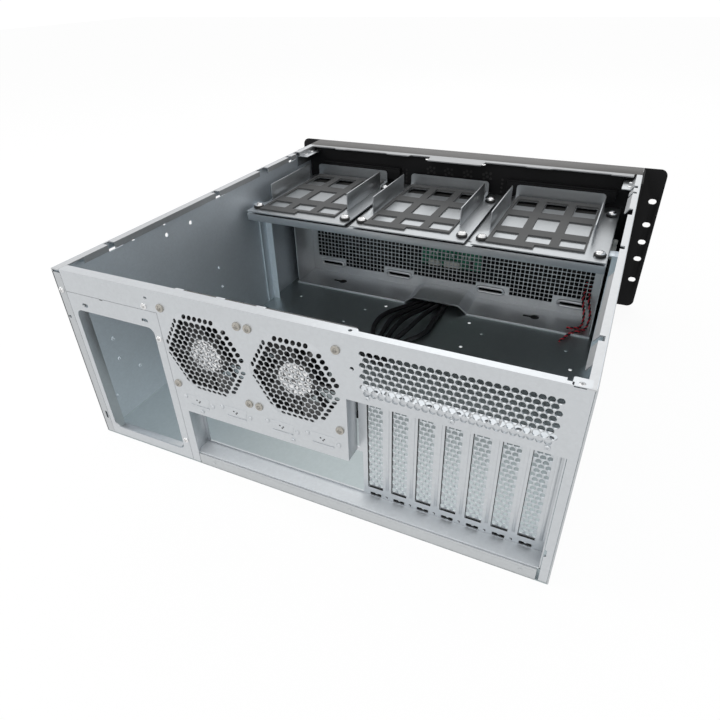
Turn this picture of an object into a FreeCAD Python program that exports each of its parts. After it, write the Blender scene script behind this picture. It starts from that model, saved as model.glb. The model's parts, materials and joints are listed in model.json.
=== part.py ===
import FreeCAD, Part
import math
import os
import Sketcher
from FreeCAD import Placement, Rotation, Vector

# An empty four-unit rackmount server case with its top cover off.
# Row frame: +Z up, front towards -Y, rear towards +Y, origin under the middle of the case.
# Places are given as (across, inward, up): across from the outer face of the power-supply
# side (+X) towards the other side, inward from the outer rear plane towards the front,
# up from the floor. All lengths are in millimetres.

SIZES = {
    # Envelope.
    "body_width": 430, "body_height": 177, "body_depth": 470, "bezel_depth": 31,
    "sheet": 1.2, "thin_sheet": 0.8, "bend": 1.0, "seam": 0.3,
    # Chassis tray.
    "top_lip": 8.5, "rear_return": 9, "rear_lip_height": 12, "rear_lip_left": 116.3,
    "rear_lip_margin": 9.7, "wall_slot_length": 18, "wall_slot_height": 2.4,
    "wall_hole_radius": 2.2, "lip_notch_length": 10, "wall_slot_drop": 8.7,
    "wall_slot_first": 69, "wall_slot_last": 52, "wall_hole_drop": 8.5, "wall_hole_low_drop": 20.9,
    "wall_hole_rear": 91, "wall_hole_middle": 134.6, "wall_hole_front": 172.3, "return_drop": 2,
    # Rear panel.
    "panel_lip": 8.5, "fan_section_low": 62, "vent_low": 122.4, "io_right": 271,
    "slots_margin": 7.5, "return_depth": 14.5, "panel_lip_end": 5,
    "fan_across": 148, "fan_pitch": 80.9, "fan_offset": 2.65, "boss_height": 1.6,
    "boss_corner": 39.6, "boss_top_corner": 36.9, "cell_pitch": 8.0, "cell_flats": 6.6,
    "vent_left": 284, "vent_margin": 16, "vent_rise": 14.6, "vent_head": 10, "vent_pitch": 9.8,
    "vent_flats": 8.2, "screw_hole_radius": 2.2,
    # Power-supply bracket.
    "psu_right": 107.2, "psu_drop": 20.1, "psu_open_left": 14.6, "psu_open_right": 99.4,
    "psu_open_low": 11, "psu_head": 15.9, "psu_open_radius": 6, "psu_lap": 9, "psu_lap_low": 6,
    "psu_side": 12, "psu_side_drop": 10,
    # Recessed plate with the input-output opening and the seven slots.
    "recess_depth": 16.4, "recess_left": 112.8, "io_width": 158.75,
    "io_height": 44.45, "io_left": 117.2, "io_low": 15, "io_ceiling": 63.2,
    "slot_ceiling": 124.8, "slot_first": 285.9, "slot_pitch": 20.32, "slot_width": 12.8,
    "slot_low": 22.5, "slot_high": 119, "slot_margin": 12, "foot_hole": 10, "foot_hole_rise": 5,
    "io_lap": 9, "slot_lap": 10,
    "cover_width": 18.4, "cover_tab": 12, "cover_foot": 4, "cover_tail_drop": 13, "cover_tail": 3.4,
    "cover_cell": 8, "cover_cell_pitch": 11,
    # Rear fans.
    "fan_size": 80, "fan_thick": 25, "fan_hole_spacing": 71.5, "fan_bore": 38.2,
    "fan_hub": 18.5, "fan_base": 3, "fan_strut": 4, "fan_flange": 3.5, "rotor_length": 19,
    "shaft_radius": 2, "shaft_clearance": 0.05, "blade_tip": 36.6, "blade_count": 7,
    "blade_thick": 1.4, "blade_chord": 17, "screw_head": 3.6, "screw_head_height": 1.4,
    "screw_length": 8,
    # Front fan guard and shelf.
    "guard_left": 9, "guard_margin": 15, "guard_gap": 28, "guard_foot": 50, "guard_lip": 12,
    "guard_flange_start": 3, "shelf_drop": 40, "mesh_left": 17.4, "mesh_margin": 8, "mesh_low": 24,
    "mesh_head": 9,
    "mesh_columns": 18, "mesh_rows": 5, "mesh_bar": 3.6, "rim_slot_length": 40,
    "rim_slot_height": 3.6, "rim_slot_up": 16.5, "rim_slot_near": 33.5, "rim_slot_far": 29.5,
    "rim_slot_before": 27.5, "rim_slot_after": 17.5, "keyhole_near": 61, "keyhole_far": 70,
    "keyhole_radius": 5, "keyhole_length": 14, "keyhole_width": 4, "keyhole_inward": 26,
    "tunnel_left": 176, "tunnel_right": 262,
    "tunnel_rise": 9, "tunnel_slope": 12, "shelf_depth": 175, "shelf_left": 8, "shelf_margin": 14,
    "shelf_fold": 7, "shelf_hole_margin": 8, "shelf_hole_gap": 14,
    "post_gap": 130, "post_width": 10, "post_depth": 14, "post_tab": 5,
    # Drive trays.
    "tray_first": 19, "tray_pitch": 137.6, "tray_well": 103, "tray_front_gap": 11,
    "tray_length": 166, "tray_wall_length": 122, "tray_wall_stop": 26, "tray_side_height": 20,
    "tray_far_height": 14, "tray_wing": 18, "tray_ear": 9.5, "tray_screw_left": 2.3,
    "tray_screw_right": 114, "tray_screw_margin": 16, "tray_screw_gap": 32,
    "tray_gap": 2.8, "tray_bend_corner": 4, "tray_slot_depth": 15, "pad_thick": 1.6, "pad_margin": 3,
    "pad_start": 6,
    "pad_window_width": 24, "pad_window_depth": 27, "pad_window_across": 33, "pad_window_along": 41,
    "grommet_radius": 6, "grommet_neck": 4, "grommet_bore": 2.1, "grommet_rise": 2.4,
    "dome_radius": 4.8, "dome_height": 2.8, "dome_shank": 1.9,
    # Front.
    "front_gap": 0.3, "fan_opening": 57, "fan_opening_near": 92,
    "fan_opening_up": 70, "rail_depth": 12, "rail_tab_left": 175, "rail_tab_right": 257,
    "rail_tab_depth": 10.5, "bezel_wall": 2.5, "louvre_count": 9, "louvre_height": 5,
    "louvre_pitch": 11, "louvre_low": 24, "louvre_margin": 30,
    "ear_reach": 26.3, "ear_thick": 2, "ear_leg": 62, "ear_slot_across": 17.55,
    "ear_slot_length": 8.6, "ear_slot_height": 6.4, "ear_pair_outer": 101.6,
    "ear_pair_inner": 44.45, "ear_corner": 8,
    "gusset_width": 17, "gusset_length": 38, "gusset_drop": 4.6, "gusset_leg": 14,
    "board_left": 178, "board_right": 262, "board_low": 36, "board_high": 84,
    "board_gap": 9, "board_thick": 1.6, "spacer_radius": 2.5, "spacer_margin": 6,
    "button_across": 60, "button_drop": 27, "switch_half": 5, "button_radius": 6, "button_proud": 1.6,
    "button_travel": 1.2, "button_clearance": 0.3, "button_flange": 1.5,
    "reset_offset": 24, "reset_radius": 3,
    # Leads.
    "floor_lead_radius": 3, "floor_lead_count": 5, "floor_lead_pitch": 7.8, "floor_lead_across": 217,
    "lead_plug_length": 16, "wire_pair_radius": 1.4, "side_lead_radius": 2.6, "boot_low": 68,
    "boot_radius": 5, "plug_low": 90, "plug_high": 113, "plug_width": 12, "plug_thick": 8,
}

# Places and counts that follow those sizes.
PLACES = {
    "front_plane": "body_depth - bezel_depth",
    "wall_slot_pitch": "(front_plane - wall_slot_last - wall_slot_first) / 2",
    "wall_slot_up": "body_height - wall_slot_drop",
    "rear_lip_right": "body_width - rear_lip_margin",
    "slots_right": "body_width - slots_margin",
    "recess_right": "slots_right - seam",
    "slot_count": "floor((recess_right - slot_margin - slot_first) / slot_pitch) + 1",
    "fan_up": "(io_ceiling + io_lap + body_height - sheet) / 2 + fan_offset",
    "vent_right": "body_width - vent_margin",
    "vent_bottom": "vent_low + vent_rise",
    "psu_top": "body_height - psu_drop",
    "psu_open_high": "psu_top - psu_head",
    "guard_right": "body_width - guard_margin",
    "guard_face": "front_plane - guard_gap",
    "guard_rear": "guard_face - guard_foot",
    "shelf_top": "body_height - shelf_drop",
    "shelf_right": "body_width - shelf_margin",
    "shelf_rear": "front_plane - shelf_depth",
    "mesh_right": "guard_right - mesh_margin",
    "mesh_high": "shelf_top - mesh_head",
    "post_inward": "front_plane - post_gap",
    "tray_count": "floor((shelf_right - tray_first - tray_well - tray_wing) / tray_pitch) + 1",
    "tray_far": "front_plane - tray_front_gap",
    "tray_rear": "tray_far - tray_length",
    "tray_wall_start": "tray_far - tray_wall_length",
    "tray_wall_end": "tray_far - tray_wall_stop",
    "tray_screw_rear": "tray_rear + tray_screw_margin",
    "tray_screw_front": "tray_far - tray_screw_gap",
    "fan_opening_far": "body_width - fan_opening_near",
    "button_up": "body_height - button_drop",
}

doc = FreeCAD.newDocument("rack_case")
sheet = doc.addObject("Spreadsheet::Sheet", "sizes")
cells_of_sheet = [(alias, str(number)) for alias, number in SIZES.items()]
cells_of_sheet += [(alias, "=" + formula) for alias, formula in PLACES.items()]
for row, (alias, content) in enumerate(cells_of_sheet, start=1):
    sheet.set("A%d" % row, alias)
    sheet.setAlias("B%d" % row, alias)
    sheet.set("B%d" % row, content)
doc.recompute()


class Size:
    """A length that carries its number and the sheet formula that gives it."""

    def __init__(self, number, text):
        self.number = float(number)
        self.text = text

    def __add__(self, other):
        other = as_size(other)
        return Size(self.number + other.number, "(%s + %s)" % (self.text, other.text))

    def __sub__(self, other):
        other = as_size(other)
        return Size(self.number - other.number, "(%s - %s)" % (self.text, other.text))

    def __mul__(self, other):
        other = as_size(other)
        return Size(self.number * other.number, "(%s * %s)" % (self.text, other.text))

    def __truediv__(self, other):
        other = as_size(other)
        return Size(self.number / other.number, "(%s / %s)" % (self.text, other.text))

    def __radd__(self, other):
        return as_size(other) + self

    def __rsub__(self, other):
        return as_size(other) - self

    def __rmul__(self, other):
        return as_size(other) * self

    def __neg__(self):
        return Size(0, "0") - self


def as_size(value):
    if isinstance(value, Size):
        return value
    return Size(value, "%.6f" % value)


class Sheet:
    """Reads each cell of the sheet by its alias, as a Size."""

    def __getattr__(self, alias):
        return Size(float(getattr(sheet, alias)), "sizes." + alias)


s = Sheet()
nodes = {}


def node(item, label):
    """Gives a finished piece its own label, which names its file."""
    item.Label = label
    nodes[label] = item
    return item


def bind(item, name, value):
    item.setExpression(name, as_size(value).text)


def x_at(across):
    return s.body_width / 2 - across


def y_at(inward):
    return s.body_depth / 2 - inward


def block(across, inward, up):
    """A box between two places on each of the three directions."""
    item = doc.addObject("Part::Box", "block")
    bind(item, "Length", as_size(across[1]) - across[0])
    bind(item, "Width", as_size(inward[1]) - inward[0])
    bind(item, "Height", as_size(up[1]) - up[0])
    bind(item, "Placement.Base.x", x_at(across[1]))
    bind(item, "Placement.Base.y", y_at(inward[1]))
    bind(item, "Placement.Base.z", up[0])
    return item


TURNS = {
    "x": Rotation(Vector(0, 1, 0), 90),
    "y": Rotation(Vector(1, 0, 0), 90),
    "z": Rotation(),
}


def rod(direction, radius, length, across, inward, up):
    """A cylinder from its start towards +X, -Y or +Z."""
    item = doc.addObject("Part::Cylinder", "rod")
    bind(item, "Radius", radius)
    bind(item, "Height", length)
    item.Placement = Placement(Vector(), TURNS[direction])
    bind(item, "Placement.Base.x", x_at(across))
    bind(item, "Placement.Base.y", y_at(inward))
    bind(item, "Placement.Base.z", up)
    return item


def fuse(items):
    item = doc.addObject("Part::MultiFuse", "joined")
    item.Shapes = items
    item.Refine = True
    return item


def cut(base, tools):
    tool = tools[0]
    if len(tools) > 1:
        tool = doc.addObject("Part::Compound", "tools")
        tool.Links = tools
    item = doc.addObject("Part::Cut", "trimmed")
    item.Base = base
    item.Tool = tool
    item.Refine = True
    return item


def new_body(name):
    return doc.addObject("PartDesign::Body", name)


def origin_plane(body, role):
    for feature in body.Origin.OriginFeatures:
        if feature.Role == role:
            return feature
    raise ValueError(role)


def outline(body, role, corners, offset=0.0):
    """A closed sketch of straight sides on an origin plane, each corner set from the sheet."""
    sketch = body.newObject("Sketcher::SketchObject", body.Name + "_outline")
    sketch.AttachmentSupport = [(origin_plane(body, role), "")]
    sketch.MapMode = "FlatFace"
    bind(sketch, "AttachmentOffset.Base.z", offset)
    corners = [(as_size(first), as_size(second)) for first, second in corners]
    points = [Vector(first.number, second.number, 0) for first, second in corners]
    count = len(points)
    for index in range(count):
        sketch.addGeometry(Part.LineSegment(points[index], points[(index + 1) % count]), False)
    for index in range(count):
        following = (index + 1) % count
        sketch.addConstraint(Sketcher.Constraint("Coincident", index, 2, following, 1))
    for index, (first, second) in enumerate(corners):
        for kind, value in (("DistanceX", first), ("DistanceY", second)):
            rule = sketch.addConstraint(Sketcher.Constraint(kind, -1, 1, index, 1, value.number))
            sketch.setExpression("Constraints[%d]" % rule, value.text)
    return sketch


def pad(body, sketch, length, reverse=False):
    feature = body.newObject("PartDesign::Pad", body.Name + "_pad")
    feature.Profile = sketch
    feature.Reversed = reverse
    bind(feature, "Length", length)
    doc.recompute()
    return feature


def plate(name, corners, inward, thick):
    """A flat vertical sheet: its outline given as (across, up), its rear face at inward."""
    body = new_body(name)
    places = [(x_at(across), up) for across, up in corners]
    sketch = outline(body, "XZ_Plane", places, -y_at(inward))
    pad(body, sketch, thick)
    return body


def flat(name, corners, up, thick):
    """A flat level sheet: its outline given as (across, inward), its under face at up."""
    body = new_body(name)
    places = [(x_at(across), y_at(inward)) for across, inward in corners]
    sketch = outline(body, "XY_Plane", places, up)
    pad(body, sketch, thick)
    return body


def turned(name, corners):
    """A solid of revolution about the vertical axis, from (radius, up) corners."""
    body = new_body(name)
    sketch = outline(body, "XZ_Plane", corners)
    feature = body.newObject("PartDesign::Revolution", name + "_turn")
    feature.Profile = sketch
    feature.ReferenceAxis = (sketch, ["V_Axis"])
    feature.Angle = 360
    doc.recompute()
    return body


def rounded(base, radius, wanted):
    """Rounds the edges of a piece for which wanted(edge) holds."""
    doc.recompute()
    item = doc.addObject("Part::Fillet", "rounded")
    item.Base = base
    size = as_size(radius).number
    picked = [number for number, edge in enumerate(base.Shape.Edges, start=1) if wanted(edge)]
    item.Edges = [(number, size, size) for number in picked]
    return item


def runs_along(edge, axis):
    if edge.Curve.TypeId != "Part::GeomLine":
        return False
    direction = edge.tangentAt(edge.FirstParameter)
    return abs(direction.dot(axis)) > 0.999


def copies(shape_item, places, label):
    """One node that holds separate equal solids, one at each (across, inward, up) place."""
    doc.recompute()
    solids = []
    for across, inward, up in places:
        shape = shape_item.Shape.copy()
        spot = Vector(x_at(across).number, y_at(inward).number, as_size(up).number)
        shape.translate(spot)
        solids.append(shape)
    item = doc.addObject("Part::Feature", label)
    item.Shape = Part.makeCompound(solids)
    item.Placement = Placement()
    return node(item, label)


def hexagon(centre, corner_radius, first_angle):
    """A closed six-sided wire in the XZ plane."""
    points = []
    for step in range(7):
        angle = math.radians(first_angle + 60 * step)
        reach = Vector(corner_radius * math.cos(angle), 0, corner_radius * math.sin(angle))
        points.append(centre + reach)
    return Part.makePolygon(points)


def cells(name, centres, flats, front, length):
    """Upright hexagonal prisms at (x, z) centres, from y = front towards the rear."""
    prisms = []
    for x, z in centres:
        wire = hexagon(Vector(x, front, z), flats / math.sqrt(3), 30)
        prisms.append(Part.Face(wire).extrude(Vector(0, length, 0)))
    item = doc.addObject("Part::Feature", name)
    item.Shape = Part.makeCompound(prisms)
    item.Placement = Placement()
    return item


def honeycomb_hexagon(x, z, pitch, rings):
    """Centres of a honeycomb that fills a regular hexagon with a flat top."""
    row_step = pitch * math.sqrt(3) / 2
    centres = []
    for row in range(-rings, rings + 1):
        count = 2 * rings + 1 - abs(row)
        for column in range(count):
            centres.append((x + (column - (count - 1) / 2) * pitch, z + row * row_step))
    return centres


def honeycomb_strip(x_low, x_high, z_low, rows, pitch):
    """Centres of staggered rows between two places."""
    row_step = pitch * math.sqrt(3) / 2
    centres = []
    for row in range(rows):
        start = x_low + (row % 2) * pitch / 2
        count = int((x_high - start) / pitch) + 1
        for column in range(count):
            centres.append((start + column * pitch, z_low + row * row_step))
    return centres


front_inward = s.front_plane
wall_inner = s.body_width - s.sheet
lip_under = s.body_height - s.sheet

# --- Chassis tray: floor, side walls and inward top lips folded from one sheet -----------


def chassis_tray():
    body = new_body("tray_body")
    half = s.body_width / 2
    right = [
        (half, 0), (half, s.body_height), (half - s.top_lip, s.body_height),
        (half - s.top_lip, lip_under), (half - s.sheet, lip_under), (half - s.sheet, s.sheet),
    ]
    left = [(-x, z) for x, z in reversed(right)]
    section = outline(body, "XZ_Plane", right + left, -y_at(0))
    pad(body, section, front_inward)
    folds = rounded(body, s.bend, is_chassis_bend)
    rear_return = block((0, s.rear_return), (0, s.sheet), (s.sheet, lip_under - s.return_drop))
    rear_lip = block((s.rear_lip_left, s.rear_lip_right), (0, s.sheet), (0.0, s.rear_lip_height))
    folded = fuse([folds, rear_return, rear_lip])
    tools = []
    through = s.body_width + 4
    for index in range(3):
        middle = s.wall_slot_first + s.wall_slot_pitch * index
        half_slot = s.wall_slot_length / 2
        half_height = s.wall_slot_height / 2
        slot = block((-2, s.body_width + 2), (middle - half_slot, middle + half_slot),
                     (s.wall_slot_up - half_height, s.wall_slot_up + half_height))
        tools.append(slot)
        notch = (s.sheet * 2, s.top_lip + 1)
        for edge in (notch, (s.body_width - notch[1], s.body_width - notch[0])):
            half_notch = s.lip_notch_length / 2
            tools.append(block(edge, (middle - half_notch, middle + half_notch),
                               (lip_under - 1, s.body_height + 1)))
    high = s.body_height - s.wall_hole_drop
    low = s.body_height - s.wall_hole_low_drop
    holes = (
        (s.wall_hole_rear, high), (s.wall_hole_middle, high), (s.wall_hole_middle, low),
        (s.wall_hole_front, low),
    )
    for inward, up in holes:
        tools.append(rod("x", s.wall_hole_radius, through, s.body_width + 2, inward, up))
    return node(cut(folded, tools), "chassis_tray")


def is_chassis_bend(edge):
    """The outer bends at the floor and the lips."""
    if not runs_along(edge, Vector(0, 1, 0)):
        return False
    spot = edge.CenterOfMass
    at_side = abs(abs(spot.x) - s.body_width.number / 2) < 0.01
    return at_side and (spot.z < 0.01 or spot.z > s.body_height.number - 0.01)


# --- Rear panel: raised honeycomb over the fans, vent strip over the slots ---------------


def raised_hexagon(index, grow):
    """The hexagonal boss over one fan, or with grow = -sheet the hollow behind it."""
    x = x_at(s.fan_across + s.fan_pitch * index).number
    z = s.fan_up.number
    base = y_at(0).number + grow - (0.01 if grow == 0 else 0.5)
    top = y_at(0).number + s.boss_height.number + grow
    slope = (s.boss_corner.number - s.boss_top_corner.number) / s.boss_height.number
    widen = 0.0 if grow == 0 else 0.5 * slope
    foot = hexagon(Vector(x, base, z), s.boss_corner.number + widen, 0)
    crown = hexagon(Vector(x, top, z), s.boss_top_corner.number, 0)
    item = doc.addObject("Part::Feature", "boss")
    item.Shape = Part.makeLoft([foot, crown], True, True)
    item.Placement = Placement()
    return item


def rear_panel():
    top = lip_under
    edge = s.rear_return + s.seam
    strip = s.psu_right + s.seam
    floor = s.sheet + s.seam
    far = wall_inner - s.seam
    strip_end = s.rear_lip_left - s.seam
    corners = [
        (edge, s.psu_top + s.seam), (strip, s.psu_top + s.seam), (strip, floor),
        (strip_end, floor), (strip_end, s.fan_section_low), (s.io_right, s.fan_section_low),
        (s.io_right, s.vent_low), (s.slots_right, s.vent_low), (s.slots_right, floor),
        (far, floor), (far, top), (edge, top),
    ]
    face = plate("rear_face", corners, 0, s.sheet)
    lip = block((s.top_lip + s.seam, s.body_width - s.top_lip - s.seam - s.panel_lip_end), (0, s.panel_lip),
                (top, s.body_height))
    back = block((s.io_right - s.sheet, s.io_right), (s.sheet, s.sheet + s.return_depth),
                 (s.fan_section_low, s.vent_low))
    bosses = [raised_hexagon(index, 0) for index in range(2)]
    solid = fuse([face, lip, back] + bosses)
    tools = [raised_hexagon(index, -s.sheet.number) for index in range(2)]
    front = y_at(0).number - 2 * s.sheet.number
    length = 2 * s.sheet.number + s.boss_height.number + 2
    for index in range(2):
        x = x_at(s.fan_across + s.fan_pitch * index).number
        centres = honeycomb_hexagon(x, s.fan_up.number, s.cell_pitch.number, 4)
        tools.append(cells("fan_cells", centres, s.cell_flats.number, front, length))
        reach = s.fan_hole_spacing / 2
        for side in (-1, 1):
            for level in (-1, 1):
                across = s.fan_across + s.fan_pitch * index + reach * side
                tools.append(rod("y", s.screw_hole_radius, 4, across, -2, s.fan_up + reach * level))
    first = s.vent_bottom + s.vent_flats / 2
    room = lip_under - s.vent_head - s.vent_flats / 2 - first
    rows = int(room.number / (s.vent_pitch.number * math.sqrt(3) / 2)) + 1
    strip_cells = honeycomb_strip(x_at(s.vent_right).number, x_at(s.vent_left).number, first.number, rows,
                                  s.vent_pitch.number)
    tools.append(cells("vent_cells", strip_cells, s.vent_flats.number, front, length))
    return node(cut(solid, tools), "rear_panel")


def psu_bracket():
    """Plate with the power-supply opening, with a lap behind the rear panel's top band."""
    left = s.rear_return + s.seam
    low = s.sheet + s.seam
    face = block((left, s.psu_right), (0, s.sheet), (low, s.psu_top))
    lap = block((left, s.psu_right), (s.sheet, s.sheet * 2),
                (s.psu_top - s.psu_lap_low, s.psu_top + s.psu_lap))
    side = block((left, left + s.sheet), (s.sheet, s.sheet + s.psu_side), (low, s.psu_top - s.psu_side_drop))
    opening = block((s.psu_open_left, s.psu_open_right), (-2, s.sheet * 2 + 2),
                    (s.psu_open_low, s.psu_open_high))
    eased = rounded(opening, s.psu_open_radius, lambda edge: runs_along(edge, Vector(0, 1, 0)))
    return node(cut(fuse([face, lap, side]), [eased]), "psu_bracket")


# --- Recessed plate and slot covers ------------------------------------------------------


def slot_plate():
    face_at = s.recess_depth
    low = s.rear_lip_height + s.seam
    turn = s.io_right + s.sheet
    corners = [
        (s.recess_left, low), (s.recess_right, low), (s.recess_right, s.slot_ceiling),
        (turn, s.slot_ceiling), (turn, s.io_ceiling), (s.recess_left, s.io_ceiling),
    ]
    face = plate("recess_face", corners, face_at, s.sheet)
    rear = s.sheet
    lap = s.sheet * 2
    ledge = block((s.recess_left, s.recess_right), (rear, face_at), (low, low + s.sheet))
    skirt = block((s.rear_lip_left + 1, s.rear_lip_right), (rear, lap), (s.sheet + s.seam, low))
    io_roof = block((s.recess_left, s.io_right - s.sheet - s.seam), (rear, face_at),
                    (s.io_ceiling - s.sheet, s.io_ceiling))
    io_lap = block((s.recess_left, s.io_right - s.sheet - s.seam), (rear, lap),
                   (s.io_ceiling - s.sheet, s.io_ceiling + s.io_lap))
    slot_roof = block((turn, s.recess_right), (rear, face_at), (s.slot_ceiling - s.sheet, s.slot_ceiling))
    slot_lap = block((turn, s.recess_right), (rear, lap),
                     (s.slot_ceiling - s.sheet, s.slot_ceiling + s.slot_lap))
    near_side = block((s.recess_left, s.recess_left + s.sheet), (rear, face_at), (low, s.io_ceiling))
    far_side = block((s.recess_right - s.sheet, s.recess_right), (rear, face_at), (low, s.slot_ceiling))
    pan = fuse([face, ledge, skirt, io_roof, io_lap, slot_roof, slot_lap, near_side, far_side])
    behind = face_at + s.sheet + 2
    tools = [block((s.io_left, s.io_left + s.io_width), (face_at - 2, behind),
                   (s.io_low, s.io_low + s.io_height))]
    for index in range(int(s.slot_count.number)):
        middle = s.slot_first + s.slot_pitch * index
        half = s.slot_width / 2
        tools.append(block((middle - half, middle + half), (face_at - 2, behind), (s.slot_low, s.slot_high)))
        foot = s.foot_hole / 2
        tools.append(block((middle - foot, middle + foot), (face_at - 3, behind),
                           (low - 1, low + s.foot_hole_rise)))
    return node(cut(pan, tools), "slot_plate")


def slot_cover(index):
    """A vented blanking bracket: face, tail behind the plate's foot and a tab over its roof."""
    middle = s.slot_first + s.slot_pitch * index
    half = s.cover_width / 2
    tail = s.cover_tail / 2
    face_at = s.recess_depth + s.sheet
    foot = s.slot_low - s.cover_foot
    end = foot - s.cover_tail_drop
    roof = s.slot_ceiling
    corners = [
        (middle - half, foot), (middle - tail, foot), (middle - tail, end),
        (middle + tail, end), (middle + tail, foot), (middle + half, foot),
        (middle + half, roof + s.thin_sheet), (middle - half, roof + s.thin_sheet),
    ]
    name = "slot_cover_%d" % (index + 1)
    face = plate(name + "_face", corners, face_at, s.thin_sheet)
    tab = block((middle - half, middle + half), (face_at + s.thin_sheet - s.cover_tab, face_at),
                (roof, roof + s.thin_sheet))
    rows = int((s.slot_high - s.slot_low).number / s.cover_cell_pitch.number)
    centres = []
    for row in range(rows):
        up = s.slot_low.number + (row + 0.75) * s.cover_cell_pitch.number
        centres.append((x_at(middle).number, up))
    vents = cells(name + "_vents", centres, s.cover_cell.number, y_at(face_at).number - 3, 6)
    return node(cut(fuse([face, tab]), [vents]), name)


# --- Rear fans ---------------------------------------------------------------------------


def fan_frame(index, label):
    """Square housing with a round bore, a motor seat on four struts and a bearing tube."""
    across = s.fan_across + s.fan_pitch * index
    half = s.fan_size / 2
    rear = s.sheet
    inner = rear + s.fan_thick
    shell = block((across - half, across + half), (rear, inner), (s.fan_up - half, s.fan_up + half))
    waist_half = half + 1
    bore = rod("y", s.fan_bore, s.fan_thick + 2, across, rear - 1, s.fan_up)
    reach = s.fan_hole_spacing / 2
    tools = [bore]
    corner = s.fan_hole_spacing / 2 + 4.5
    for side in (-1, 1):
        for level in (-1, 1):
            spot = across + reach * side
            up = s.fan_up + reach * level
            tools.append(rod("y", s.screw_hole_radius, s.fan_thick + 2, spot, rear - 1, up))
            waist = corner - 9
            low_across = across + waist if side > 0 else across - waist_half
            low_up = s.fan_up + waist if level > 0 else s.fan_up - waist_half
            tools.append(block((low_across, low_across + waist_half - waist),
                               (rear + s.fan_flange, inner - s.fan_flange),
                               (low_up, low_up + waist_half - waist)))
    ring = cut(shell, tools)
    posts = []
    for side in (-1, 1):
        for level in (-1, 1):
            spot = across + reach * side
            up = s.fan_up + reach * level
            post = rod("y", s.screw_hole_radius + 1.6, s.fan_thick, spot, rear, up)
            hole = rod("y", s.screw_hole_radius, s.fan_thick + 2, spot, rear - 1, up)
            posts.append(cut(post, [hole]))
    seat = rod("y", s.fan_hub, s.fan_base, across, rear, s.fan_up)
    half_strut = s.fan_strut / 2
    level_strut = block((across - s.fan_bore - 0.5, across + s.fan_bore + 0.5),
                        (rear, rear + s.fan_base), (s.fan_up - half_strut, s.fan_up + half_strut))
    upright_strut = block((across - half_strut, across + half_strut), (rear, rear + s.fan_base),
                          (s.fan_up - s.fan_bore - 0.5, s.fan_up + s.fan_bore + 0.5))
    tube = rod("y", s.shaft_radius + 2, s.rotor_length - 6, across, rear, s.fan_up)
    bearing = rod("y", s.shaft_radius + s.shaft_clearance, s.rotor_length, across, rear + 1, s.fan_up)
    whole = fuse([ring, seat, level_strut, upright_strut, tube] + posts)
    return node(cut(whole, [bearing]), label)


def fan_blade(across):
    """One blade lofted from the hub to the tip, steeper at the hub than at the tip."""
    centre = Vector(x_at(across).number, y_at(s.sheet).number - s.fan_thick.number / 2 - 1.5, s.fan_up.number)
    sections = []
    for reach, pitch_angle in ((s.fan_hub.number - 1.2, 40), (s.blade_tip.number, 27)):
        chord = s.blade_chord.number * (0.78 + 0.3 * (reach / s.blade_tip.number))
        half_chord = chord / 2
        half_thick = s.blade_thick.number / 2
        points = []
        for along, thick in ((-1, -1), (1, -1), (1, 1), (-1, 1), (-1, -1)):
            points.append(Vector(along * half_chord, thick * half_thick, 0))
        wire = Part.makePolygon(points)
        wire.rotate(Vector(), Vector(0, 0, 1), pitch_angle)
        wire.translate(centre + Vector(0, 0, reach))
        sections.append(wire)
    blade = Part.makeLoft(sections, True, True)
    return blade, centre


def fan_rotor(index, label):
    """Hub cup with its shaft and seven blades."""
    across = s.fan_across + s.fan_pitch * index
    start = s.sheet + s.fan_base + 0.8
    hub = rod("y", s.fan_hub, s.rotor_length, across, start, s.fan_up)
    hollow = rod("y", s.fan_hub - 1.5, s.rotor_length - 1.5, across, start - 1, s.fan_up)
    shaft_start = s.sheet + 1.6
    shaft = rod("y", s.shaft_radius, s.rotor_length + s.fan_base + 0.8 - 2.1, across, shaft_start, s.fan_up)
    blade, centre = fan_blade(across)
    ring = []
    for turn in range(int(s.blade_count.number)):
        copy = blade.copy()
        copy.rotate(centre, Vector(0, 1, 0), turn * 360.0 / s.blade_count.number)
        ring.append(copy)
    blades = doc.addObject("Part::Feature", "blades")
    blades.Shape = Part.makeCompound(ring)
    blades.Placement = Placement()
    return node(fuse([cut(hub, [hollow]), shaft, blades]), label)


def fan_screws():
    """Pan-head screws from the rear through the panel into the fan housings."""
    places = []
    reach = s.fan_hole_spacing / 2
    for index in range(2):
        for side in (-1, 1):
            for level in (-1, 1):
                across = s.fan_across + s.fan_pitch * index + reach * side
                places.append((across, 0, s.fan_up + reach * level))
    return copies(rear_screw("fan_screw"), places, "fan_screws")


def rear_screw(name):
    """A screw with its head's seat at the origin, pointing to the front."""
    head = doc.addObject("Part::Cone", name + "_head")
    bind(head, "Radius1", s.screw_head)
    bind(head, "Radius2", s.screw_head - 1)
    bind(head, "Height", s.screw_head_height)
    head.Placement = Placement(Vector(), Rotation(Vector(1, 0, 0), -90))
    shank = doc.addObject("Part::Cylinder", name + "_shank")
    bind(shank, "Radius", s.screw_hole_radius - 0.3)
    bind(shank, "Height", s.screw_length)
    shank.Placement = Placement(Vector(), Rotation(Vector(1, 0, 0), 90))
    return fuse([head, shank])


# --- Fan guard, shelf and posts ----------------------------------------------------------


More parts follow.
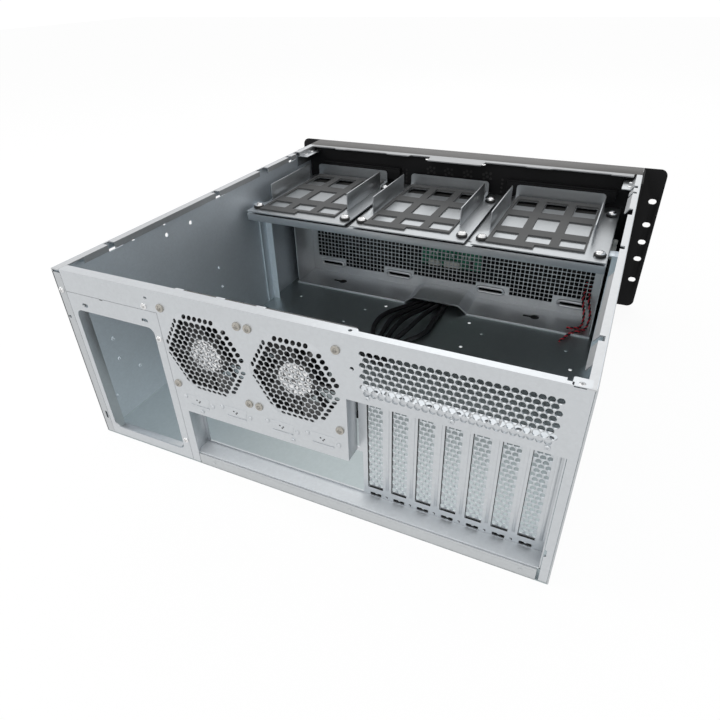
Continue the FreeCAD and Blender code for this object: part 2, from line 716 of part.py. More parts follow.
def fan_guard():
    """One folded sheet: meshed face, foot with a raised cable tunnel, side flanges and top lip."""
    floor = s.sheet
    under = s.shelf_top - s.sheet
    face_in = s.guard_face
    face = block((s.guard_left, s.guard_right), (face_in, face_in + s.sheet), (floor, under))
    tunnel_floor = (s.tunnel_left, s.tunnel_right)
    foot_left = block((s.guard_left, tunnel_floor[0]), (s.guard_rear, face_in), (floor, floor + s.sheet))
    foot_right = block((tunnel_floor[1], s.guard_right), (s.guard_rear, face_in), (floor, floor + s.sheet))
    rise = floor + s.tunnel_rise
    crown_left = s.tunnel_left + s.tunnel_slope
    crown_right = s.tunnel_right - s.tunnel_slope
    corners = [
        (s.tunnel_left, floor), (s.tunnel_left + s.sheet, floor), (crown_left + s.sheet / 2, rise),
        (crown_right - s.sheet / 2, rise), (s.tunnel_right - s.sheet, floor), (s.tunnel_right, floor),
        (s.tunnel_right, floor + s.sheet), (crown_right, rise + s.sheet),
        (crown_left, rise + s.sheet), (s.tunnel_left, floor + s.sheet),
    ]
    tunnel = plate("tunnel", corners, s.guard_rear, face_in - s.guard_rear)
    start = s.guard_rear + s.guard_flange_start
    near = block((s.guard_left, s.guard_left + s.sheet), (start, face_in), (floor, under))
    far = block((s.guard_right - s.sheet, s.guard_right), (start, face_in), (floor, under))
    lip = block((s.guard_left, s.guard_right), (face_in - s.guard_lip, face_in), (under - s.sheet, under))
    sheet_part = fuse([face, foot_left, foot_right, tunnel, near, far, lip])
    tools = [block((crown_left + 3, crown_right - 3), (face_in - 1, face_in + 3), (floor - 1, rise - 1))]
    across_step = (s.mesh_right - s.mesh_left) / s.mesh_columns
    up_step = (s.mesh_high - s.mesh_low) / s.mesh_rows
    windows = []
    for column in range(int(s.mesh_columns.number)):
        for row in range(int(s.mesh_rows.number)):
            left = s.mesh_left + across_step * column + s.mesh_bar / 2
            low = s.mesh_low + up_step * row + s.mesh_bar / 2
            size_across = (across_step - s.mesh_bar).number
            size_up = (up_step - s.mesh_bar).number
            corner = Vector(x_at(left).number - size_across, y_at(face_in).number - 3, low.number)
            windows.append(Part.makeBox(size_across, 5, size_up, corner))
    mesh = doc.addObject("Part::Feature", "mesh_windows")
    mesh.Shape = Part.makeCompound(windows)
    mesh.Placement = Placement()
    tools.append(mesh)
    half_height = s.rim_slot_height / 2
    rim_slots = (
        s.guard_left + s.rim_slot_near, s.tunnel_left - s.rim_slot_before,
        s.tunnel_right + s.rim_slot_after, s.guard_right - s.rim_slot_far,
    )
    for middle in rim_slots:
        half = s.rim_slot_length / 2
        tools.append(block((middle - half, middle + half), (face_in - 1, face_in + 3),
                           (s.rim_slot_up - half_height, s.rim_slot_up + half_height)))
    for middle in (s.guard_left + s.keyhole_near, s.guard_right - s.keyhole_far):
        inward = s.guard_rear + s.keyhole_inward
        half = s.keyhole_width / 2
        tools.append(rod("z", s.keyhole_radius, 6, middle, inward, 0))
        tools.append(block((middle - s.keyhole_length, middle), (inward - half, inward + half), (0.0, 6)))
    return node(cut(sheet_part, tools), "fan_guard")


def tray_places():
    return [s.tray_first + s.tray_pitch * index for index in range(int(s.tray_count.number))]


def tray_shelf():
    """Level sheet under the drive trays, with a rear edge folded down and a hole per screw."""
    under = s.shelf_top - s.sheet
    front = front_inward - s.sheet - s.seam
    top = block((s.shelf_left, s.shelf_right), (s.shelf_rear, front), (under, s.shelf_top))
    fold = block((s.shelf_left, s.shelf_right), (s.shelf_rear, s.shelf_rear + s.sheet),
                 (under - s.shelf_fold, under))
    tools = []
    for across, inward in tray_screw_places():
        tools.append(rod("z", s.dome_shank + 0.2, 4, across, inward, under - 1))
    for left in tray_places():
        margin = s.shelf_hole_margin
        tools.append(block((left + margin, left + s.tray_well - margin),
                           (s.tray_wall_start + margin, s.guard_face - s.shelf_hole_gap),
                           (under - 1, s.shelf_top + 1)))
    return node(cut(fuse([top, fold]), tools), "tray_shelf")


def tray_screw_places():
    places = []
    for left in tray_places():
        places.append((left - s.tray_screw_left, s.tray_screw_rear))
        places.append((left + s.tray_screw_right, s.tray_screw_rear))
        places.append((left + s.tray_screw_right, s.tray_screw_front))
    return places


def side_post(label, wall_side):
    """Angle bracket on a side wall that carries the shelf: wall leg, web and top tab."""
    under = s.shelf_top - s.sheet

    def span(near, far):
        if wall_side == "near":
            return (near, far)
        return (s.body_width - far, s.body_width - near)

    leg = block(span(s.sheet, s.sheet * 2), (s.post_inward - s.post_depth, s.post_inward), (s.sheet, under))
    web = block(span(s.sheet, s.sheet + s.post_width), (s.post_inward - s.sheet, s.post_inward),
                (s.sheet, under))
    tab = block(span(s.sheet, s.sheet + s.post_width + s.post_tab),
                (s.post_inward - s.post_depth, s.post_inward), (under - s.sheet, under))
    return node(fuse([leg, web, tab]), label)


# --- Drive trays -------------------------------------------------------------------------


def drive_tray(index):
    """One folded sheet: floor with a wide rear strip and a side wing, two sides and a far wall."""
    left = tray_places()[index]
    right = left + s.tray_well
    low = s.shelf_top + s.tray_gap
    top = low + s.sheet
    name = "drive_tray_%d" % (index + 1)
    wing = right + s.tray_wing
    ear = left - s.tray_ear
    wing_front = s.tray_screw_front + s.grommet_radius + 3
    corners = [
        (ear, s.tray_rear), (wing, s.tray_rear), (wing, wing_front), (right + s.sheet, wing_front),
        (right + s.sheet, s.tray_far + s.sheet), (left - s.sheet, s.tray_far + s.sheet),
        (left - s.sheet, s.tray_wall_start - 2), (ear, s.tray_wall_start - 14),
    ]
    floor = flat(name + "_floor", corners, low, s.sheet)
    rise = top + s.tray_side_height
    near = block((left - s.sheet, left), (s.tray_wall_start, s.tray_wall_end), (low, rise))
    far = block((right, right + s.sheet), (s.tray_wall_start, s.tray_wall_end), (low, rise))
    wall = block((left, right), (s.tray_far, s.tray_far + s.sheet), (low, top + s.tray_far_height))
    corner_top = top.number + s.tray_far_height.number
    eased = rounded(wall, s.tray_bend_corner,
                    lambda edge: runs_along(edge, Vector(0, 1, 0)) and edge.CenterOfMass.z > corner_top - 0.1)
    tools = []
    for across, inward in tray_screw_places()[3 * index:3 * index + 3]:
        tools.append(rod("z", s.grommet_neck + 0.1, 4, across, inward, low - 1))
    for column in range(3):
        middle = left + s.tray_well / 2 + s.pad_window_across * (column - 1)
        half = s.pad_window_width / 2
        end = pad_window_middle(2) + s.pad_window_depth / 2
        tools.append(block((middle - half, middle + half), (end - s.tray_slot_depth, end),
                           (low - 1, top + 1)))
    return node(cut(fuse([floor, near, far, eased]), tools), name)


def pad_window_middle(row):
    middle = (s.tray_wall_start + s.tray_far) / 2
    return middle + s.pad_window_along * (row - 1)


def tray_pad(index):
    """Dark pad on a tray's floor with three by three windows."""
    left = tray_places()[index]
    top = s.shelf_top + s.tray_gap + s.sheet
    body = block((left + s.pad_margin, left + s.tray_well - s.pad_margin),
                 (s.tray_wall_start - s.pad_start, s.tray_far - s.pad_margin), (top, top + s.pad_thick))
    tools = []
    for row in range(3):
        for column in range(3):
            middle = left + s.tray_well / 2 + s.pad_window_across * (column - 1)
            along = pad_window_middle(row)
            half = s.pad_window_width / 2
            deep = s.pad_window_depth / 2
            tools.append(block((middle - half, middle + half), (along - deep, along + deep),
                               (top - 1, top + s.pad_thick + 1)))
    return node(cut(body, tools), "tray_pad_%d" % (index + 1))


def tray_grommets():
    """Rubber rings: a lower and an upper flange with the tray's sheet in the groove."""
    low = 0.0
    neck_low = s.tray_gap
    neck_high = s.tray_gap + s.sheet
    top = neck_high + s.grommet_rise
    corners = [
        (s.grommet_bore, low), (s.grommet_radius, low), (s.grommet_radius, neck_low),
        (s.grommet_neck, neck_low), (s.grommet_neck, neck_high), (s.grommet_radius, neck_high),
        (s.grommet_radius, top), (s.grommet_bore, top),
    ]
    ring = turned("grommet", corners)
    places = [(across, inward, s.shelf_top) for across, inward in tray_screw_places()]
    return copies(ring, places, "tray_grommets")


def tray_screws():
    """Domed screws through the grommets into the shelf."""
    low = -s.sheet - 4
    seat = s.tray_gap + s.sheet + s.grommet_rise
    corners = [
        (0, low), (s.dome_shank, low), (s.dome_shank, seat), (s.dome_radius, seat),
        (s.dome_radius, seat + s.dome_height * 0.4), (s.dome_radius * 0.55, seat + s.dome_height),
        (0, seat + s.dome_height),
    ]
    screw = turned("dome_screw", corners)
    places = [(across, inward, s.shelf_top) for across, inward in tray_screw_places()]
    return copies(screw, places, "tray_screws")


# --- Front -------------------------------------------------------------------------------


def front_panel():
    gap = s.sheet + s.front_gap
    face = block((gap, s.body_width - gap), (front_inward - s.sheet, front_inward), (gap, lip_under))
    tools = []
    for across in (s.fan_opening_near, s.fan_opening_far):
        tools.append(rod("y", s.fan_opening, 4, across, front_inward - 2.5, s.fan_opening_up))
    return node(cut(face, tools), "front_panel")


def front_rail():
    """Bright strip along the top of the front panel with a wider tab in the middle."""
    rear = front_inward - s.rail_depth
    tab = rear - s.rail_tab_depth
    start = s.top_lip + s.seam
    end = s.body_width - s.top_lip - s.seam
    corners = [
        (start, front_inward), (start, rear), (s.rail_tab_left, rear), (s.rail_tab_left, tab),
        (s.rail_tab_right, tab), (s.rail_tab_right, rear), (end, rear), (end, front_inward),
    ]
    return node(flat("rail", corners, lip_under, s.sheet), "front_rail")


def bezel():
    """Front cover: a shell open to the case, with louvres and two button holes."""
    edge = s.front_gap
    body = block((edge, s.body_width - edge), (front_inward, s.body_depth), (0.0, s.body_height))
    wall = s.bezel_wall
    hollow = block((edge + wall, s.body_width - edge - wall), (front_inward - 1, s.body_depth - wall),
                   (wall, s.body_height - wall))
    tools = [hollow]
    for index in range(int(s.louvre_count.number)):
        low = s.louvre_low + s.louvre_pitch * index
        tools.append(block((s.louvre_margin, s.body_width - s.louvre_margin),
                           (s.body_depth - wall - 1, s.body_depth + 1), (low, low + s.louvre_height)))
    for across, radius in button_places():
        tools.append(rod("y", radius + s.button_clearance, 8, across, s.body_depth - wall - 3, s.button_up))
    return node(cut(body, tools), "bezel")


def button_places():
    return [(s.button_across, s.button_radius), (s.button_across + s.reset_offset, s.reset_radius)]


def button(label, across, radius):
    """A round cap with a flange behind the bezel's face and a stem to its switch."""
    face = s.body_depth - s.bezel_wall
    cap = rod("y", radius, s.bezel_wall + s.button_flange + s.button_travel + s.button_proud, across,
              face - s.button_travel - s.button_flange, s.button_up)
    return node(cap, label)


def ear(label, mirrored):
    """Angle for the rack: a leg on the side wall and a slotted flange at the front plane."""

    def span(near, far):
        if mirrored:
            return (s.body_width - far, s.body_width - near)
        return (near, far)

    leg = block(span(-s.ear_thick, 0), (s.body_depth - s.ear_leg, s.body_depth), (1.0, s.body_height - 1))
    flange = block(span(-s.ear_reach, 0), (s.body_depth - s.ear_thick, s.body_depth),
                   (0.0, s.body_height))
    outer = x_at(-s.ear_reach).number
    eased = rounded(flange, s.ear_corner, lambda edge: runs_along(edge, Vector(0, 1, 0))
                    and abs(abs(edge.CenterOfMass.x) - outer) < 0.01)
    middle_up = s.body_height / 2
    levels = [
        middle_up - s.ear_pair_outer / 2, middle_up - s.ear_pair_inner / 2, middle_up,
        middle_up + s.ear_pair_inner / 2, middle_up + s.ear_pair_outer / 2,
    ]
    radius = s.ear_slot_height / 2
    straight = s.ear_slot_length / 2 - radius
    middle = -s.ear_slot_across
    tools = []
    for up in levels:
        low, high = span(middle - straight, middle + straight)
        inward = s.body_depth - s.ear_thick - 1
        tools.append(block((low, high), (inward, inward + 4), (up - radius, up + radius)))
        tools.append(rod("y", radius, 4, low, inward, up))
        tools.append(rod("y", radius, 4, high, inward, up))
    return node(cut(fuse([leg, eased]), tools), label)


def gusset(label, mirrored):
    """Corner angle between a side wall and the front panel, just under the top lip."""

    def span(near, far):
        if mirrored:
            return (s.body_width - far, s.body_width - near)
        return (near, far)

    top = lip_under - s.gusset_drop
    front = front_inward - s.sheet - s.seam
    tab = block(span(s.sheet, s.sheet + s.gusset_width), (front - s.gusset_length, front),
                (top - s.sheet, top))
    leg = block(span(s.sheet, s.sheet * 2), (front - s.gusset_length, front),
                (top - s.gusset_leg, top))
    return node(fuse([tab, leg]), label)


def switch_board():
    """Small circuit board behind the guard."""
    rear = s.guard_face + s.board_gap
    board = block((s.board_left, s.board_right), (rear, rear + s.board_thick), (s.board_low, s.board_high))
    return node(board, "switch_board")


def board_spacers():
    """Four pillars that carry the board on the front panel."""
    start = s.guard_face + s.board_gap + s.board_thick
    length = front_inward - s.sheet - start
    pillar = doc.addObject("Part::Cylinder", "pillar")
    bind(pillar, "Radius", s.spacer_radius)
    bind(pillar, "Height", length)
    pillar.Placement = Placement(Vector(), TURNS["y"])
    places = []
    for across in (s.board_left + s.spacer_margin, s.board_right - s.spacer_margin):
        for up in (s.board_low + s.spacer_margin, s.board_high - s.spacer_margin):
            places.append((across, start, up))
    return copies(pillar, places, "board_spacers")


def button_switches():
    """Two switch bodies on the front panel, one behind each button."""
    rest = s.body_depth - s.bezel_wall - s.button_travel - s.button_flange
    end = rest - s.button_travel - s.button_clearance
    solids = []
    for across, radius in button_places():
        half = s.switch_half
        solids.append(block((across - half, across + half), (front_inward, end),
                            (s.button_up - half, s.button_up + half)))
    return copies(fuse(solids), [(s.body_width / 2, s.body_depth / 2, 0.0)], "button_switches")


# --- Leads -------------------------------------------------------------------------------


def lead(label, radius, route):
    """A tube along straight runs joined by arcs that touch both runs."""
    points = [Vector(x_at(across).number, y_at(inward).number, as_size(up).number)
              for across, inward, up in route]
    edges = []
    radii = []
    start = points[0]
    for before, corner, after in zip(points, points[1:], points[2:]):
        back = before - corner
        ahead = after - corner
        trim = 0.45 * min(back.Length, ahead.Length)
        turn = math.pi - back.getAngle(ahead)
        radii.append(trim / math.tan(turn / 2))
        enter = corner + back.normalize() * trim
        leave = corner + ahead.normalize() * trim
        bisector = (back + ahead).normalize()
        centre_reach = radii[-1] / math.cos(turn / 2)
        middle = corner + bisector * (centre_reach - radii[-1])
        edges.append(Part.LineSegment(start, enter).toShape())
        edges.append(Part.Arc(enter, middle, leave).toShape())
        start = leave
    edges.append(Part.LineSegment(start, points[-1]).toShape())
    path = Part.Wire(edges)
    first = points[1] - points[0]
    ring = Part.Wire(Part.makeCircle(radius.number, points[0], first))
    tube = path.makePipeShell([ring], True, False)
    item = doc.addObject("Part::Feature", label)
    item.Shape = tube
    item.Placement = Placement()
    section = math.pi * radius.number ** 2 * path.Length
    print("%-14s length %6.1f least radius %5.1f turns %s volume ratio %.4f" % (
        label, path.Length, min(radii), len(radii), tube.Volume / section))
    return node(item, label)


def floor_leads():
    """Black leads from the front, through the guard's tunnel and out over the floor."""
    rise = s.sheet + s.floor_lead_radius + 0.2
    count = int(s.floor_lead_count.number)
    for index in range(count):
        beside = s.floor_lead_across + s.floor_lead_pitch * (index - (count - 1) / 2)
        drift = 0.7 * (index % 2)
        route = [
            (beside, front_inward - s.sheet, rise), (beside, s.guard_face - 10, rise),
            (beside - 1 - drift, s.guard_face - 36, rise), (beside - 4, s.guard_face - 66, rise),
            (beside - 11 - drift, s.guard_face - 98, rise), (beside - 21, s.guard_face - 130, rise),
            (beside - 25, s.guard_face - 154, rise), (beside - 25, lead_end(index), rise),
        ]
        lead("floor_lead_%d" % (index + 1), s.floor_lead_radius, route)


def lead_end(index):
    """How far in the floor lead of that number ends, at its plug."""
    return s.guard_face - 176 - 3 * index


def lead_plugs():
    """Small header plugs on the hidden ends of the floor leads."""
    rise = s.sheet + s.floor_lead_radius + 0.2
    count = int(s.floor_lead_count.number)
    half = s.floor_lead_radius
    solids = []
    for index in range(count):
        beside = s.floor_lead_across + s.floor_lead_pitch * (index - (count - 1) / 2) - 25
        end = lead_end(index)
        solids.append(block((beside - half, beside + half), (end - s.lead_plug_length, end),
                            (s.sheet + 0.2, rise + half * 0.6)))
    return copies(fuse(solids), [(s.body_width / 2, s.body_depth / 2, 0.0)], "lead_plugs")


def wire_pairs():
    """Two twisted pairs out of the guard's mesh, down to its foot and out to loose ends."""
    foot = s.sheet * 2 + s.wire_pair_radius + 0.2
    face = s.guard_face
    edge = s.guard_right
    start = front_inward - s.sheet
    lead("wire_pair_1", s.wire_pair_radius, [
        (edge - 18, start, 37), (edge - 18, face + 6, 37), (edge - 18.5, face - 6, 35.5),
        (edge - 15, face - 14, 23), (edge - 11.5, face - 20, 11), (edge - 12, face - 28, foot + 1),
        (edge - 18, face - 36, foot), (edge - 28, face - 41, foot),
    ])
    lead("wire_pair_2", s.wire_pair_radius, [
        (edge - 12.5, start, 36), (edge - 12.5, face + 6, 36), (edge - 12, face - 5, 34.5),
        (edge - 8, face - 12, 24), (edge - 5, face - 19, 12), (edge - 5.5, face - 29, foot + 1.5),
        (edge - 11, face - 40, foot), (edge - 20, face - 50, foot), (edge - 29, face - 61, foot),
        (edge - 32, face - 73, foot),
    ])


def side_lead():
    """Black lead that comes from the front beside the guard and stands up to its plug."""
    beside = s.guard_right + 6.3
    inward = s.guard_face - 11
    lead("side_lead", s.side_lead_radius, [
        (beside, front_inward - s.sheet, 12), (beside, s.guard_face + 8, 12),
        (beside, inward + 1, 25), (beside, inward, 44), (beside, inward, s.boot_low),
    ])
    boot = Part.makeCone(s.side_lead_radius.number + 0.6, s.boot_radius.number,
                         (s.plug_low - s.boot_low).number)
    item = doc.addObject("Part::Feature", "boot")
    item.Shape = boot
    item.Placement = Placement(Vector(x_at(beside).number, y_at(inward).number, s.boot_low.number),
                               Rotation())
    node(item, "side_boot")
    half = s.plug_width / 2
    body = block((beside - half, beside + half), (inward - s.plug_thick / 2, inward + s.plug_thick / 2),
                 (s.plug_low, s.plug_high))
    top = s.plug_high.number
    crown = rounded(body, s.plug_width / 2 - 0.4, lambda edge: runs_along(edge, Vector(0, 1, 0))
                    and edge.CenterOfMass.z > top - 0.1)
    node(crown, "side_plug")


chassis_tray()
rear_panel()
psu_bracket()
slot_plate()
for cover_index in range(int(s.slot_count.number)):
    slot_cover(cover_index)
fan_frame(0, "fan_frame_near")
fan_frame(1, "fan_frame_far")
fan_rotor(0, "fan_rotor_near")
fan_rotor(1, "fan_rotor_far")
fan_screws()
fan_guard()
tray_shelf()
side_post("side_post_near", "near")
side_post("side_post_far", "far")
for tray_index in range(int(s.tray_count.number)):
    drive_tray(tray_index)
    tray_pad(tray_index)
tray_grommets()
tray_screws()
front_panel()
front_rail()
bezel()
button("power_button", s.button_across, s.button_radius)
button("reset_button", s.button_across + s.reset_offset, s.reset_radius)
ear("rack_ear_near", False)
ear("rack_ear_far", True)
gusset("gusset_near", False)
gusset("gusset_far", True)
switch_board()
board_spacers()
button_switches()
floor_leads()
lead_plugs()
wire_pairs()
side_lead()

doc.recompute()
for item in doc.Objects:
    if "Invalid" in item.State or "Error" in item.State:
        raise RuntimeError("%s failed: %s" % (item.Label, item.State))
os.makedirs("parts", exist_ok=True)
for label, item in nodes.items():
    shape = item.Shape
    if shape.isNull() or not shape.isValid():
        raise RuntimeError("bad shape: " + label)
    shape.exportStep("parts/%s.step" % label)
print("nodes", len(nodes))
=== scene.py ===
"""Looks of an empty four-unit rackmount server case, built on its solids.

Run as a script, it loads the solids, dresses each piece, adds the fine pieces and the stage.
Lengths are in millimetres unless a name says otherwise; the meshes are in metres.
Places are (across, inward, up): from the near side's outer face, the rear plane and the floor.
"""

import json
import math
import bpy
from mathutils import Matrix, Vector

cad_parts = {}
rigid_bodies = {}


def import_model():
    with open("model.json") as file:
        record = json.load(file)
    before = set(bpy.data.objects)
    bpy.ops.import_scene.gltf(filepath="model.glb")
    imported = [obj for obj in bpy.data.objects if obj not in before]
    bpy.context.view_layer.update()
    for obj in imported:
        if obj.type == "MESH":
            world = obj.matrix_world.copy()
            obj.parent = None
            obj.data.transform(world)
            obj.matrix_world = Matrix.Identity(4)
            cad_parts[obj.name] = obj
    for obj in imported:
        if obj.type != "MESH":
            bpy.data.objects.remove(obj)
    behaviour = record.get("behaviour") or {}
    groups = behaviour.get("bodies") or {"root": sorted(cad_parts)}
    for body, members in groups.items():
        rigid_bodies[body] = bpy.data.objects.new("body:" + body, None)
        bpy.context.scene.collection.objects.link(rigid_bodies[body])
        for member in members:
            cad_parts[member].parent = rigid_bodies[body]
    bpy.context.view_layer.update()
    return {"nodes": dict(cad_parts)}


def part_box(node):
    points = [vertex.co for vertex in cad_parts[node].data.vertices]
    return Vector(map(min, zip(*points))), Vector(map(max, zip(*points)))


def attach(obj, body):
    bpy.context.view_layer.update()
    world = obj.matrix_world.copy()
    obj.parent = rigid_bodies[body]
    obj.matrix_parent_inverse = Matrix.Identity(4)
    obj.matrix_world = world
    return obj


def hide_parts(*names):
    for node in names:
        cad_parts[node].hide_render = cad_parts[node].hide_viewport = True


bl_info = {
    "name": "Rack Case Dresser",
    "version": (1, 0, 0),
    "blender": (4, 5, 0),
    "location": "View3D > Sidebar > Rack Case",
    "description": "Perforated panels, fans, trays, leads and finishes of a rackmount server case",
    "category": "Object",
}

import bmesh
import bpy
from mathutils import Matrix, Vector

for thing in list(bpy.data.objects):
    bpy.data.objects.remove(thing)
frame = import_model()
solids = frame["nodes"]
MM = 0.001
NEAR_SIDE, REAR_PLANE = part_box("chassis_tray")[1].xy
SHEET = 1.2
UPRIGHT = Matrix.Rotation(math.pi / 2, 4, "X")
LEVEL = Matrix()
SHARP_FOLD = 35.0
OUTER_SIDE = 0.2143
OUTER_REAR = 0.2335


def spot(across, inward, up):
    return Vector((NEAR_SIDE - across * MM, REAR_PLANE - inward * MM, up * MM))


def spans(node):
    """A node's (across, inward, up) limits."""
    low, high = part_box(node)
    return (
        ((NEAR_SIDE - high.x) / MM, (NEAR_SIDE - low.x) / MM),
        ((REAR_PLANE - high.y) / MM, (REAR_PLANE - low.y) / MM),
        (low.z / MM, high.z / MM),
    )


def middle(limits):
    return (limits[0] + limits[1]) / 2


FAN_SPANS = [spans("fan_frame_near"), spans("fan_frame_far")]
FAN_CENTRES = [middle(limits[0]) for limits in FAN_SPANS]
FAN_UP = middle(FAN_SPANS[0][2])
CASE_TOP = spans("chassis_tray")[2][1]
CASE_WIDTH = spans("chassis_tray")[0][1]
FRONT = spans("chassis_tray")[1][1]
FRONT_FACE = spans("bezel")[1][1]
PSU = spans("psu_bracket")
POCKET = spans("slot_plate")
GUARD = spans("fan_guard")
SHELF_TOP = spans("tray_shelf")[2][1]


# --- Sizes and colours a user would change -----------------------------------------------


def size_prop(name, text, default):
    return bpy.props.FloatProperty(name=name, description=text, default=default, min=0.01)


def colour_prop(name, text, default):
    return bpy.props.FloatVectorProperty(
        name=name, description=text, default=default, size=3, min=0.0, max=1.0, subtype="COLOR"
    )


class CaseSizes(bpy.types.PropertyGroup):
    """Fine sizes, in millimetres."""

    fold: size_prop("Fold radius", "Radius of the folded edges, in millimetres", 0.3)
    grille_pitch: size_prop("Grille pitch", "Pitch of the fan grilles' cells, in millimetres", 5.4)
    grille_hole: size_prop("Grille hole", "Width of a cell of the grilles, in millimetres", 4.6)
    cover_pitch: size_prop("Cover pitch", "Pitch of the slot covers' cells, in millimetres", 4.9)
    cover_hole: size_prop("Cover hole", "Width of a cell of the covers, in millimetres", 3.8)
    mesh_pitch: size_prop("Mesh pitch", "Pitch of the guard's square mesh, in millimetres", 5.6)
    mesh_hole: size_prop("Mesh hole", "Width of a hole of the mesh, in millimetres", 4.75)


class CaseColours(bpy.types.PropertyGroup):
    """Colours of the finishes."""

    zinc: colour_prop("Zinc", "Galvanised sheet", (0.66, 0.675, 0.69))
    paint: colour_prop("Paint", "Black paint of the ears and the front", (0.005, 0.005, 0.0055))
    bezel: colour_prop("Bezel", "Satin paint of the bezel", (0.034, 0.031, 0.028))
    pad: colour_prop("Pad", "Pads of the drive trays", (0.075, 0.077, 0.078))
    board: colour_prop("Board", "Lacquer of the switch board", (0.02, 0.16, 0.09))
    wire_red: colour_prop("Red wire", "Red strand of the wire pairs", (0.72, 0.05, 0.07))
    plug: colour_prop("Plug", "Moulded white plug", (0.78, 0.76, 0.70))


def sizes():
    return bpy.context.scene.case_sizes


def colours():
    return bpy.context.scene.case_colours


# --- Finishes ----------------------------------------------------------------------------


class Value:
    """A node's output that can be used in arithmetic."""

    def __init__(self, finish, socket):
        self.finish = finish
        self.socket = socket

    def math(self, operation, first, second):
        return self.finish.add("ShaderNodeMath", {"operation": operation}, {0: first, 1: second})

    def __add__(self, other):
        return self.math("ADD", self, other)

    def __mul__(self, other):
        return self.math("MULTIPLY", self, other)

    def above(self, other):
        return self.math("GREATER_THAN", self, other)

    __radd__ = __add__
    __rmul__ = __mul__


class Finish:
    """A material in the making."""

    def __init__(self, holder):
        holder.use_nodes = True
        self.material = holder
        self.tree = holder.node_tree
        self.tree.nodes.clear()

    def add(self, kind, settings=None, sockets=None, output=0):
        """Adds a node: its settings first, then its sockets' values or links."""
        node = self.tree.nodes.new(kind)
        for key, value in (settings or {}).items():
            setattr(node, key, value)
        for key, value in (sockets or {}).items():
            socket = node.inputs[key]
            if isinstance(value, Value):
                self.tree.links.new(value.socket, socket)
            elif socket.type == "RGBA":
                socket.default_value = (*value, 1.0)
            else:
                socket.default_value = value
        return Value(self, node.outputs[output])

    def place(self, stretch):
        found = self.add("ShaderNodeTexCoord", output="Object")
        return self.add("ShaderNodeMapping", None, {"Vector": found, "Scale": stretch})

    def noise(self, scale, detail=2.0, stretch=(1.0, 1.0, 1.0)):
        sockets = {"Vector": self.place(stretch), "Scale": scale, "Detail": detail}
        return self.add("ShaderNodeTexNoise", None, sockets)

    def flakes(self, scale):
        found = self.add("ShaderNodeTexVoronoi", None,
                         {"Vector": self.place((1.0, 1.0, 1.0)), "Scale": scale}, "Color")
        return self.add("ShaderNodeRGBToBW", None, {0: found})

    def outer_skin(self):
        """Where a surface lies on the case's outer side or rear faces: the mask that keeps the painted light
        of the inner faces off them.
        """
        point = {"Vector": self.place((1.0, 1.0, 1.0))}
        across = self.add("ShaderNodeSeparateXYZ", None, point, "X")
        behind = self.add("ShaderNodeSeparateXYZ", None, point, "Y")
        side = across.math("ABSOLUTE", across, 0.0).above(OUTER_SIDE)
        return side.math("MAXIMUM", side, behind.above(OUTER_REAR))

    def blend(self, share, first, second):
        sockets = {0: share, 6: first, 7: second}
        return self.add("ShaderNodeMix", {"data_type": "RGBA"}, sockets, 2)

    def bump(self, height, strength, reach):
        sockets = {"Height": height, "Strength": strength, "Distance": reach}
        return self.add("ShaderNodeBump", None, sockets)

    def end(self, sockets):
        """Closes the material with one shader that takes these sockets."""
        return self.close(self.add("ShaderNodeBsdfPrincipled", None, sockets))

    def close(self, shader, kind="ShaderNodeOutputMaterial"):
        output = self.tree.nodes.new(kind)
        self.tree.links.new(shader.socket, output.inputs["Surface"])
        return self.material


def tinted(colour, factor):
    return tuple(min(1.0, channel * factor) for channel in colour)


def rolled_zinc(name, colour, roughness, rolled, outer_plain_tone=None):
    """Galvanised sheet: cloudy zinc with rolling marks and crystals. Where an outer tone is given, the inner
    faces carry painted light and the outer faces keep that plainer tone.
    """
    finish = Finish(bpy.data.materials.new(name))
    cloud = finish.noise(14.0, 3.0)
    marks = finish.noise(60.0, 2.0, rolled)
    crystals = finish.flakes(420.0)
    share = cloud * 0.45 + marks * 0.3 + crystals * 0.25
    base = finish.blend(share, tinted(colour, 0.88), tinted(colour, 1.1))
    # Painted light: the inner faces keep the lit-up colour, the outer side and rear faces the plainer outer
    # tone.
    if outer_plain_tone:
        outer_plain_colour = finish.blend(share, tinted(outer_plain_tone, 0.88), tinted(outer_plain_tone, 1.1))
        base = finish.blend(finish.outer_skin(), base, outer_plain_colour)
    rough = cloud * 0.10 + marks * 0.08 + (roughness - 0.09)
    relief = finish.bump(marks * 0.5 + crystals * 0.5, 0.05, 0.0002)
    return finish.end({"Base Color": base, "Metallic": 1.0, "Roughness": rough, "Normal": relief})


def zinc_lit_or_shaded(factor, tint):
    """The zinc colour made lighter or darker by a factor, as painted light and shade, and leant to a tint."""
    return tuple(channel * factor * lean for channel, lean in zip(colours().zinc, tint))


